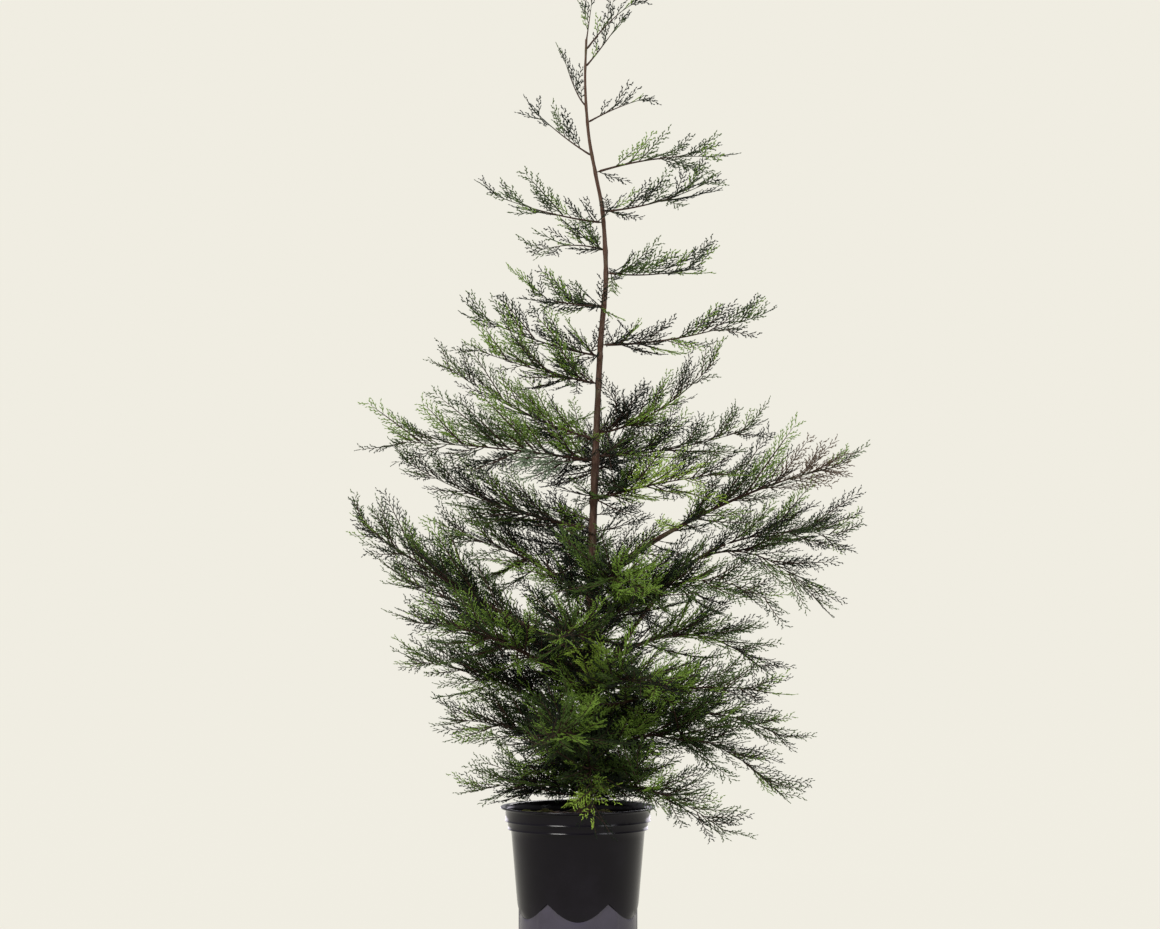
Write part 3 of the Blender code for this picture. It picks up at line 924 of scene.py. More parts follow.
@dataclass
class Crown:
    """All branches with their twigs and sprays of scale leaves; angles are in degrees."""

    stem: Stem
    room: tuple[Array, Array]
    spray_every: float = 0.0135
    spray_jitter: float = 0.3
    spray_angles: tuple[float, ...] = (42, 138, 68, 112, 18, 162, -30, 210)
    spray_lean: float = 40
    angle_jitter: float = 16
    around_jitter: float = 1.4
    spray_least: float = 0.022
    spray_share: float = 1.95
    spray_lengths: Pair = (0.55, 1.05)
    spray_straight: float = 0.92
    spray_forward: float = 0.10
    spray_rise: float = 0.06
    last_spray: float = 0.97
    end_share: float = 0.17
    bough_fullness: float = 0.86
    low_packing: float = 0.75
    packed_from: float = 1.15
    packed_over: float = 0.45
    inner_top: float = 1.42
    inner_span: float = 0.85
    inner_sprays: int = 31
    inner_reach: float = 0.58
    inner_turn: float = 64
    # Painted shade: sprays near the trunk and behind the front mostly take the deepest tone.
    shade_radius: float = 0.12
    shade_front: float = -0.07
    shade_share: float = 0.72
    glow_back: float = 0.06
    glow_missed: float = 0.20
    skirt_top: float = 0.37
    skirt_foot: float = 0.028
    skirt_sprays: int = 18
    skirt: Tufts = Tufts(rise=(-0.10, 0.60), length=(0.07, 0.15), crook=0.5, curl=0.06)
    sleeve_top: float = 0.80
    sleeve_sprays: int = 6
    sleeve_reach: float = 0.045
    sleeve: Tufts = Tufts(rise=(-0.10, 0.60), length=(0.05, 0.11), crook=0.5, curl=0.06)
    sparse_from: float = 1.0
    sparse_start: float = 0.14
    top_stoutness: float = 1.22
    limb_rings: int = 22
    limb_sides: int = 6
    limb_slim: float = 0.62
    limb_young: float = 0.55
    limb_collar: Pair = (0.4, 0.006)
    bough_overlap: float = 0.03
    brown_below: float = 1.1
    leaf_radius: float = 0.00110
    leaf_rings: tuple[Pair, ...] = ((0.45, 1.0),)
    leaf_slim: float = 0.75
    branchlet_radius: float = 0.00090
    branchlet_rings: tuple[Pair, ...] = ((0.12, 1.0), (0.6, 0.85))
    branchlet_slim: float = 0.8
    twig_radius: float = 0.0011
    twig_least: float = 0.45
    twig_length: float = 0.12
    twig_rings: tuple[Pair, ...] = ((0.05, 1.0), (0.35, 0.8), (0.7, 0.55))
    first_seed: int = 100
    top_zone: float = 1.12
    upper_zone: float = 0.66
    overhang: float = 0.022
    pot_room: Pair = (0.143, 0.243)
    ground_room: float = 0.01
    bark_room: float = 0.001
    deal: tuple[float, ...] = (0.27, 0.54, 0.86)
    branchlets: Habit = Habit(
        every=0.0054, first=0.08, last=0.98, lean=35, lean_jitter=9, share=0.36, least=0.010, most=0.034,
        roll=16, forward=0.10, rise=0.05,
    )
    tips: Habit = Habit(
        every=0.0040, first=0.12, last=0.92, lean=27, lean_jitter=8, share=0.42, least=0.0050, most=0.0120,
        roll=14, forward=0.08, rise=0.0,
    )
    # Painted highlights: brighter greens where light catches the front of the crown; the russet place is a
    # real brown tint.
    glows: tuple[Glow, ...] = (
        Glow(0.116, 1.190, 0.040, Tone.GREEN),
        Glow(-0.150, 1.076, 0.045, Tone.FRESH),
        Glow(-0.113, 0.970, 0.040, Tone.FRESH),
        Glow(0.000, 0.930, 0.050, Tone.FRESH),
        Glow(0.148, 0.947, 0.040, Tone.FRESH),
        Glow(-0.074, 0.855, 0.040, Tone.SAGE),
        Glow(0.155, 0.790, 0.070, Tone.LIME),
        Glow(0.094, 0.656, 0.040, Tone.FRESH),
        Glow(-0.083, 0.655, 0.050, Tone.FRESH),
        Glow(0.190, 0.550, 0.055, Tone.FRESH),
        Glow(0.013, 0.520, 0.035, Tone.LIME),
        Glow(0.157, 0.467, 0.040, Tone.FRESH),
        Glow(0.020, 0.430, 0.035, Tone.FRESH),
        Glow(0.100, 0.386, 0.035, Tone.FRESH),
        Glow(0.030, 0.240, 0.045, Tone.LIME),
        Glow(0.420, 0.820, 0.060, Tone.RUSSET),
    )

    def ways(self) -> dict[str, Way]:
        """Lays out every branch.

        Returns:
            The line of each, by name.
        """
        ways: dict[str, Way] = {}
        for branch in BRANCHES:
            bearer = ways[branch.parent] if branch.parent else self.stem
            ways[branch.name] = Way(branch, bearer.point(branch.height))
        return ways

    def start_of(self, way: Way) -> float:
        """Finds where a branch's foliage begins.

        Args:
            way: The branch's line.

        Returns:
            The place, as a share of its length.
        """
        branch = way.branch
        if branch.bare or branch.parent:
            return branch.bare or 0.03
        if branch.height > self.sparse_from:
            return self.sparse_start
        return self.stem.thick(branch.height) / way.length + 0.01

    def sprays(self, way: Way, chance: Chance) -> Shoots:
        """The sprays of one branch, by turns to its two sides, longest in its first third.

        Args:
            way: The branch's line.
            chance: The source of their small differences.

        Returns:
            The sprays' own shoots.
        """
        branch = way.branch
        start = self.start_of(way)
        low = min(1.0, max(0.0, (self.packed_from - way.root.z) / self.packed_over))
        count = max(4, round(way.length * (1 - start) / self.spray_every * (1.0 + self.low_packing * low)))
        fullness = self.bough_fullness if branch.bare else 1.0
        rows = self.inner(way, chance) + self.lower(way, chance)
        for i in range(count):
            share = (i + 0.5 + chance.uniform(-self.spray_jitter, self.spray_jitter)) / count
            t = start + (self.last_spray - start) * share
            forward = np.array(way.tangent(t))
            side = unit(np.cross(forward, UP))
            upward = np.cross(side, forward)
            jitter = chance.uniform(-self.angle_jitter, self.angle_jitter, 2)
            around = self.spray_angles[i % len(self.spray_angles)]
            around = math.radians(around + self.around_jitter * jitter[0])
            lean = math.radians(self.spray_lean + jitter[1] / 2)
            outward = side * math.cos(around) + upward * math.sin(around)
            direction = unit(forward * math.cos(lean) + outward * math.sin(lean))
            length = fullness * branch.spread * self.spray_share * body(share) / math.sin(lean)
            length = max(self.spray_least, length * chance.uniform(*self.spray_lengths))
            curl = forward * (self.spray_forward * length) + UP * (self.spray_rise * length)
            rows.append((np.array(way.point(t)), direction, forward, length * self.spray_straight, curl))
        length = max(self.spray_least, self.end_share * way.length)
        forward = np.array(way.tangent(1 - length / 2 / way.length))
        flat = np.array((1.0, 0, 0)) if abs(forward[2]) > 0.9 else square_to(UP, forward)
        rows.append((np.array(way.point(1 - length / way.length)), forward, flat, length, UP * 0.0))
        root, direction, flat, lengths, curl = (np.array(column) for column in zip(*rows))
        made = Shoots(root, direction, square_to(flat, direction), lengths, curl, np.zeros(len(rows), int))
        return replace(made, tone=self.tones(made, chance))

    def inner(self, way: Way, chance: Chance) -> list[tuple]:
        """Short sprays round a branch's foot, which fill the crown's middle.

        Args:
            way: The branch's line.
            chance: The source of their small differences.

        Returns:
            Root, direction, plane, length and curl of each.
        """
        if way.branch.parent or way.root.z > self.inner_top:
            return []
        rows = []
        share = min(1.0, (self.inner_top - way.root.z) / self.inner_span)
        tufts = Tufts(rise=(-0.70, 0.95), length=(0.045, 0.075 + 0.065 * share), crook=0.6, curl=0.15)
        for _ in range(round(self.inner_sprays * share)):
            root = way.point(chance.uniform(0.01, self.inner_reach * share))
            turn = math.radians(way.branch.azimuth + chance.normal(0, self.inner_turn))
            rows.append(tufts.spray(root, turn, chance))
        return rows

    def lower(self, way: Way, chance: Chance) -> list[tuple]:
        """Sprays from the lower trunk itself, most of all at its foot, down to the pot's rim.

        Args:
            way: The line of the branch that they are counted with.
            chance: The source of their small differences.

        Returns:
            Root, direction, plane, length and curl of each.
        """
        if way.branch.parent or way.root.z > self.sleeve_top:
            return []
        rows = []
        at_foot = way.root.z <= self.skirt_top
        for _ in range(self.skirt_sprays if at_foot else self.sleeve_sprays):
            height = way.root.z + chance.uniform(-self.sleeve_reach, self.sleeve_reach)
            if at_foot:
                height = chance.uniform(self.stem.foot() + self.skirt_foot, self.skirt_top)
            turn = chance.uniform(0, math.tau)
            tufts = self.skirt if at_foot else self.sleeve
            rows.append(tufts.spray(self.stem.point(height), turn, chance))
        return rows

    def tones(self, sprays: Shoots, chance: Chance) -> Array:
        """Deals a colour to each spray, with painted shade within the crown and painted highlights at the
        glow places.

        Args:
            sprays: The sprays.
            chance: The source of the deal.

        Returns:
            The tone of each.
        """
        draw = chance.random(len(sprays))
        tone = np.searchsorted(self.deal, draw)
        x, y, z = sprays.point(np.full(len(sprays), 0.6)).T
        axis = np.array([self.stem.point(height).x for height in z])
        # Painted shade: sprays within shade_radius of the trunk and behind the front take the deepest tone.
        in_painted_shade = (np.hypot(x - axis, y) < self.shade_radius) & (y > self.shade_front)
        tone[in_painted_shade & (draw < self.shade_share)] = TONES.index(Tone.DEEP)
        # Painted highlights: front sprays at the glow places take brighter greens (russet is a real tint).
        for glow in self.glows:
            near = (np.hypot(x - glow.x, z - glow.z) < glow.radius) & (y < self.glow_back)
            tone[near & (draw > self.glow_missed)] = TONES.index(glow.tone)
        return tone

    def clear(self, shoots: Shoots) -> Shoots:
        """Drops the shoots that would run into the pot or the trunk, or far out of the plan's box.

        Args:
            shoots: The shoots.

        Returns:
            Those that stay.
        """
        low, high = self.room
        end = shoots.point(np.ones(len(shoots)))
        keep = np.all((end > low - self.overhang) & (end < high + self.overhang), axis=1)
        heights = np.linspace(self.stem.foot(), self.stem.top(), 200)
        axis = np.array([self.stem.point(height).x for height in heights])
        thick = np.array([self.stem.thick(height) for height in heights])
        for share in (0.35, 0.7, 1.0):
            x, y, z = shoots.point(np.full(len(shoots), share)).T
            keep &= ~((np.hypot(x, y) < self.pot_room[0]) & (z < self.pot_room[1]))
            keep &= z > self.ground_room
            bark = np.interp(z, heights, thick) + self.bark_room
            inside = np.hypot(x - np.interp(z, heights, axis), y) < bark
            keep &= ~(inside & (z < self.stem.top()))
        return shoots.only(keep)

    def limb(self, way: Way) -> Body:
        """The branch's own stem beyond its bough, as a slim body of many rings.

        Args:
            way: The branch's line.

        Returns:
            Points, triangles and the tone of each triangle.
        """
        bare = way.branch.bare
        sides = self.limb_sides
        slim = 1.0 if bare else self.limb_slim
        shares = np.linspace(bare - self.bough_overlap if bare else 0.0, 1.0, self.limb_rings)
        points = np.array([way.point(t) for t in shares])
        rows = [points[0]]
        for t, centre in zip(shares[1:-1], points[1:-1]):
            heading = np.array(way.tangent(t))
            side = square_to(np.array(way.across), heading)
            through = np.cross(heading, side)
            radius = slim * way.thick(t) + way.collar(t, *self.limb_collar)
            for turn in np.arange(sides) * math.tau / sides:
                rows.append(centre + (side * math.cos(turn) + through * math.sin(turn)) * radius)
        rows.append(points[-1])
        pattern = spindle_triangles(self.limb_rings - 2, sides)
        ring = np.clip((pattern.min(axis=1) - 1) // sides, 0, None)
        return np.array(rows), pattern, np.where(ring > self.limb_young * self.limb_rings, 1, 0)

    def build(self) -> None:
        """Builds the leaves and twigs of every branch, joined zone by zone."""
        ways = self.ways()
        leaves: dict[str, Joined] = {}
        twigs: dict[str, Joined] = {}
        total = 0
        for number, branch in enumerate(BRANCHES):
            if not branch.spread:
                continue
            way = ways[branch.name]
            chance = np.random.default_rng(self.first_seed + number)
            sprays = self.clear(self.sprays(way, chance))
            branchlets = self.clear(sprays.grow(self.branchlets, chance))
            tips = self.clear(branchlets.grow(self.tips, chance))
            total += len(tips)
            stout = self.top_stoutness if branch.height > self.sparse_from else 1.0
            green = Joined()
            thick = np.full(len(branchlets), stout * self.branchlet_radius)
            green.add(branchlets.spindles(self.branchlet_rings, 3, self.branchlet_slim, thick))
            thick = np.full(len(tips), stout * self.leaf_radius)
            green.add(tips.spindles(self.leaf_rings, 3, self.leaf_slim, thick))
            zone = self.zone(branch)
            twig = twigs.setdefault(zone, Joined())
            leaf = leaves.setdefault(zone, Joined())
            while leaf.faces() + green.faces() > PIECE_LIMIT:
                zone = zone + "_more"
                leaf = leaves.setdefault(zone, Joined())
            leaf.add(green.body())
            axes = replace(sprays, tone=np.where(sprays.root[:, 2] < self.brown_below, 0, 1))
            thick = self.twig_radius * (self.twig_least + axes.length / self.twig_length)
            twig.add(axes.spindles(self.twig_rings, 4, 1.0, thick), self.limb(way))
            for joined in (leaf, twig):
                joined.nodes.append(f"foliage_{branch.name}")
        for zone, joined in leaves.items():
            joined.piece(f"leaves_{zone}", [tone.value for tone in LEAF_TONES], Slot.FOLIAGE)
        for zone, joined in twigs.items():
            joined.piece(f"twigs_{zone}", [Tone.TWIG.value, Tone.YOUNG.value], Slot.BARK)
        log.info("crown: %d tips", total)

    def zone(self, branch: Branch) -> str:
        """Names the part of the crown that a branch is joined to.

        Args:
            branch: The branch.

        Returns:
            The part's name.
        """
        side = branch.name.split("_")[0]
        if branch.height > self.top_zone and not branch.parent:
            return "top"
        if side in ("left", "right"):
            level = "upper" if branch.height > self.upper_zone and not branch.parent else "lower"
            return f"{side}_{level}"
        return side


# Trunk and bare boughs


@dataclass
class Wood:
    """The trunk and the bare boughs, with the bark's relief."""

    stem: Stem
    step: float = 0.0030
    trunk_sides: int = 22
    bough_sides: int = 14
    ridge: float = 0.10
    ridge_scale: float = 420
    ridge_run: float = 45
    lump: float = 0.12
    most_lump: float = 0.0012
    lump_scale: float = 130
    lump_run: float = 26
    collar: Pair = (0.5, 0.010)
    fork_taper: float = 0.55
    knuckle: float = 0.16
    knuckle_height: float = 0.007

    def relief(self, x: float, y: float, run: float, radius: float) -> float:
        """How far the bark stands out at a place on a straightened limb.

        Args:
            x: The place's distance from the limb's axis, one way.
            y: Its distance the other way.
            run: Its distance along the limb.
            radius: The limb's radius there.

        Returns:
            The height of the relief.
        """
        grain = noise.noise(Vector((x * self.ridge_scale, y * self.ridge_scale, run * self.ridge_run)))
        lump = noise.noise(Vector((x * self.lump_scale, y * self.lump_scale, run * self.lump_run + 7)))
        return radius * self.ridge * grain + min(radius * self.lump, self.most_lump) * lump

    def limb(self, name: str, centres: list[Vector], radii: list[float], sides: int, node: str) -> None:
        """Builds a limb swept along its line, ring by ring, with lengthwise ridges.

        Its "straight" attribute has each vertex's place on the straightened limb, which its bark reads.

        Args:
            name: The piece's name.
            centres: The points of its line.
            radii: Its radius at each.
            sides: How many sides it has.
            node: The CAD node that it stands for.
        """
        bm = bmesh.new()
        layer = bm.verts.layers.float_vector.new("straight")
        ring = bmesh.ops.create_circle(bm, cap_ends=True, segments=sides, radius=1.0)["verts"]
        side = Vector((1, 0, 0))
        run = 0.0
        for i, (centre, radius) in enumerate(zip(centres, radii)):
            ahead = (centres[min(i + 1, len(centres) - 1)] - centres[max(i - 1, 0)]).normalized()
            side = (side - ahead * side.dot(ahead)).normalized()
            if i:
                run += (centre - centres[i - 1]).length
                made = bmesh.ops.extrude_edge_only(bm, edges=self.round_edges(ring))["geom"]
                fresh = {item for item in made if isinstance(item, bmesh.types.BMVert)}
                ring = [
                    next(edge.other_vert(old) for edge in old.link_edges if edge.other_vert(old) in fresh)
                    for old in ring
                ]
            other = ahead.cross(side)
            for k, vertex in enumerate(ring):
                turn = math.tau * k / sides
                place = Vector((math.cos(turn) * radius, math.sin(turn) * radius, run))
                spoke = side * math.cos(turn) + other * math.sin(turn)
                vertex.co = centre + spoke * (radius + self.relief(place.x, place.y, run, radius))
                vertex[layer] = place
        bmesh.ops.contextual_create(bm, geom=self.round_edges(ring))
        bmesh.ops.recalc_face_normals(bm, faces=bm.faces)
        finished(name, from_bmesh(name, bm, 75), [BARK], (node,))

    def round_edges(self, ring: list[bmesh.types.BMVert]) -> list[bmesh.types.BMEdge]:
        """The edges that join a ring's own vertices."""
        own = set(ring)
        return list({edge for vertex in ring for edge in vertex.link_edges if edge.other_vert(vertex) in own})

    def build(self, ways: dict[str, Way]) -> None:
        """Builds the trunk and every bare bough.

        Args:
            ways: The line of every branch, by name.
        """
        foot = self.stem.foot()
        height = self.stem.top() - foot
        count = round(height / self.step)
        heights = [foot + height * i / count for i in range(count + 1)]
        centres = [self.stem.point(height) for height in heights]
        radii = [self.knuckled(height) for height in heights]
        self.limb("trunk_bark", centres, radii, self.trunk_sides, "trunk")
        for name, way in ways.items():
            bare = way.branch.bare
            if not bare:
                continue
            count = round(way.length * bare / self.step)
            shares = [bare * i / count for i in range(count + 1)]
            taper = 1.0 if way.branch.spread else self.fork_taper
            radii = [way.thick(t * taper) + way.collar(t, *self.collar) for t in shares]
            centres = [way.point(t) for t in shares]
            self.limb(f"bark_{name}", centres, radii, self.bough_sides, f"bough_{name}")

    def knuckled(self, height: float) -> float:
        """The trunk's radius, a little swollen where a branch leaves it.

        Args:
            height: The height.

        Returns:
            The radius there.
        """
        near = min(abs(height - branch.height) for branch in BRANCHES if not branch.parent)
        return self.stem.thick(height) * (1 + self.knuckle * math.exp(-((near / self.knuckle_height) ** 2)))


# Pot and compost


@dataclass
class Pot:
    """The nursery pot: lip, two bands, a tapering wall with a scalloped edge, ribbed foot and drain holes."""

    steps: int = 180
    height: float = 0.240
    wall: float = 0.0020
    floor: float = 0.0030
    lip_radius: float = 0.140
    lip: float = 0.0035
    lip_steps: int = 8
    band_radius: float = 0.1305
    band_bottom: float = 0.2135
    step_radius: float = 0.1260
    step_bottom: float = 0.1990
    wall_top_radius: float = 0.1205
    wall_slope: float = 0.084
    foot_radius: float = 0.1070
    foot_edge: float = 0.0015
    foot_ring: float = 0.010
    tongue_low: float = 0.044
    tongue_high: float = 0.075
    tongue_back: float = 0.0007
    tongue_ledge: float = 0.0012
    tongues: int = 6
    bead: float = 0.0009
    rib: float = 0.0011
    rib_angle: float = 20
    rib_width: float = 1.3
    wall_rows: int = 12
    foot_rows: int = 5
    hub_radius: float = 0.030
    hub_low: float = 0.0004
    drain_radius: float = 0.008
    drain_circle: float = 0.086
    drain_sides: int = 24

    def wall_radius(self, height: float) -> float:
        """Outer radius of the tapering wall."""
        return self.wall_top_radius - self.wall_slope * (self.step_bottom - height)

    def edge(self) -> float:
        """Height of the rows that are bent to the scalloped edge."""
        return (self.tongue_low + self.tongue_high) / 2

    def tongue_edge(self, angle: float) -> float:
        """Height of the scalloped edge: round tongues with pointed arches between them."""
        arch = 1 - abs(math.cos(self.tongues / 2 * (angle + math.pi / 2)))
        return self.tongue_low + (self.tongue_high - self.tongue_low) * arch

    def band(self, radius: float, bottom: float, inner: float) -> list[Pair]:
        """The lower edge of a band: a small bead, rounded under.

        Args:
            radius: The band's outer radius.
            bottom: The height of its lower edge.
            inner: The radius of the wall under it.

        Returns:
            (radius, height) of its points, from the top down.
        """
        out = ((0, 4.2), (0.15, 3.0), (0.75, 2.2), (1.0, 1.3), (0.8, 0.5), (0.2, 0))
        points = [(radius + self.bead * along, bottom + self.bead * up) for along, up in out]
        return [*points, (inner + 0.4 * self.bead, bottom), (inner, bottom - 0.4 * self.bead)]

    def inside(self) -> list[Pair]:
        """The section of the inside, from the middle of the floor to the top of the lip.

        Returns:
            (radius, height) of its points.
        """
        t = self.wall
        foot = self.foot_radius - 1.6 * t
        lip = ((-0.3 * t, 1.2), (0.9 * t, 0.35), (2.2 * t, 0.05))
        return [
            (0.0, self.floor),
            (foot - 0.004, self.floor),
            (foot, self.floor + 0.004),
            (foot, self.tongue_high + 0.008),
            (self.wall_top_radius - t, self.step_bottom),
            (self.step_radius - t, self.step_bottom + t),
            (self.step_radius - t, self.band_bottom),
            (self.band_radius - t, self.band_bottom + t),
            (self.band_radius - t, self.height - 2.4 * self.lip),
            *((self.band_radius + along, self.height - down * self.lip) for along, down in lip),
        ]

    def outside(self) -> list[Pair]:
        """The section of the outside, from the lip's roll to the foot.

        Returns:
            (radius, height) of its points.
        """
        lip = self.lip
        points = []
        for k in range(self.lip_steps + 1):
            turn = math.pi * k / self.lip_steps
            radius = self.lip_radius - lip * (0.5 - 0.5 * math.sin(turn))
            points.append((radius, self.height - lip * (0.5 - 0.5 * math.cos(turn))))
        for along, down in ((1.6, 1.05), (0.5, 1.35), (0, 2.0)):
            points.append((self.band_radius + along * lip, self.height - down * lip))
        points += self.band(self.band_radius, self.band_bottom, self.step_radius)
        points += self.band(self.step_radius, self.step_bottom, self.wall_top_radius)
        top = points[-1][1]
        edge = self.edge()
        for i in range(1, self.wall_rows + 1):
            height = top + (edge - top) * i / self.wall_rows
            points.append((self.wall_radius(height), height))
        points.append((self.wall_radius(edge) - self.tongue_back, edge - self.tongue_ledge / 2))
        low = edge - self.tongue_ledge
        for i in range(self.foot_rows + 1):
            points.append((self.foot_radius, low + (self.foot_edge - low) * i / self.foot_rows))
        return points

    def underside(self) -> list[Pair]:
        """The section of the underside, from the foot to the middle.

        Returns:
            (radius, height) of its points.
        """
        inner = self.foot_radius - self.foot_ring
        return [
            (self.foot_radius - self.foot_edge * 0.4, self.foot_edge * 0.3),
            (self.foot_radius - self.foot_edge * 1.2, 0.0),
            (inner, 0.0),
            (inner - 0.0015, 0.0012),
            (self.hub_radius, 0.0012),
            (self.hub_radius - 0.002, self.hub_low),
            (0.0, self.hub_low),
        ]

    def bend(self, bm: BMesh) -> None:
        """Draws the wall's lower edge into tongues and raises ribs on the foot.

        Args:
            bm: The turned shell.
        """
        top = self.step_bottom - 0.4 * self.bead
        edge = self.edge()
        for vertex in bm.verts:
            level = math.hypot(vertex.co.x, vertex.co.y)
            height = vertex.co.z
            if level < self.foot_radius - self.foot_edge or height > top - 1e-5 or height < 1e-4:
                continue
            angle = math.atan2(vertex.co.y, vertex.co.x)
            drop = self.tongue_edge(angle) - edge
            if height >= edge - 0.00001:
                height += drop * (top - height) / (top - edge)
                radius = self.wall_radius(height)
            elif height > edge - 0.75 * self.tongue_ledge:
                height += drop
                radius = self.wall_radius(height) - self.tongue_back
            else:
                share = height / (edge - self.tongue_ledge)
                height += drop * share
                radius = level + self.rib * self.ribbed(angle) * min(1.0, 4 * share)
            vertex.co.x *= radius / level
            vertex.co.y *= radius / level
            vertex.co.z = height

    def ribbed(self, angle: float) -> float:
        """How far the foot's ribs stand out.

        Args:
            angle: Where on the foot, in radians.

        Returns:
            The share of their height, from 0 to 1.
        """
        part = math.tau / self.tongues
        off = abs((angle + math.pi / 2 + part / 2) % part - part / 2)
        return math.exp(-((math.degrees(off) - self.rib_angle) / self.rib_width) ** 2)

    def drains(self) -> Mesh:
        """The round bodies that the drain holes are cut with.

        Returns:
            Their mesh.
        """
        cutter = bmesh.new()
        for i in range(self.tongues):
            angle = math.tau * i / self.tongues
            place = (self.drain_circle * math.cos(angle), self.drain_circle * math.sin(angle), 0)
            bmesh.ops.create_cone(
                cutter, cap_ends=True, segments=self.drain_sides, radius1=self.drain_radius,
                radius2=self.drain_radius, depth=6 * self.floor, matrix=Matrix.Translation(place),
            )
        return from_bmesh("drain_cutter", cutter)

    def build(self) -> None:
        """Builds the pot."""
        bm = turned(self.inside() + self.outside() + self.underside(), self.steps)
        # The foot's faces below the tongues take the lighter second plastic, a painted reflection of the
        # floor.
        outer = self.foot_radius - 0.0009
        for face in bm.faces:
            x, y, z = face.calc_center_median()
            face.material_index = int(math.hypot(x, y) > outer and z < self.edge() - self.tongue_ledge)
        self.bend(bm)
        holes = placed("drain_cutter", self.drains())
        shell = placed("shell", from_bmesh("shell", bm, 48))
        cut = shell.modifiers.new("Drain holes", "BOOLEAN")
        cut.operation = "DIFFERENCE"
        cut.object = holes
        drilled = bpy.data.meshes.new_from_object(shell.evaluated_get(bpy.context.evaluated_depsgraph_get()))
        drilled.name = "nursery_pot"
        for item in (holes, shell):
            bpy.data.objects.remove(item, do_unlink=True)
        finished("nursery_pot", drilled, [PLASTIC, FOOT_PAINTED_REFLECTION], ("pot",))


@dataclass(frozen=True)
class Crumb:
    """One kind of small lump that lies on the compost."""

    share: float
    size: float
    shape: Triple
    finish: Finish


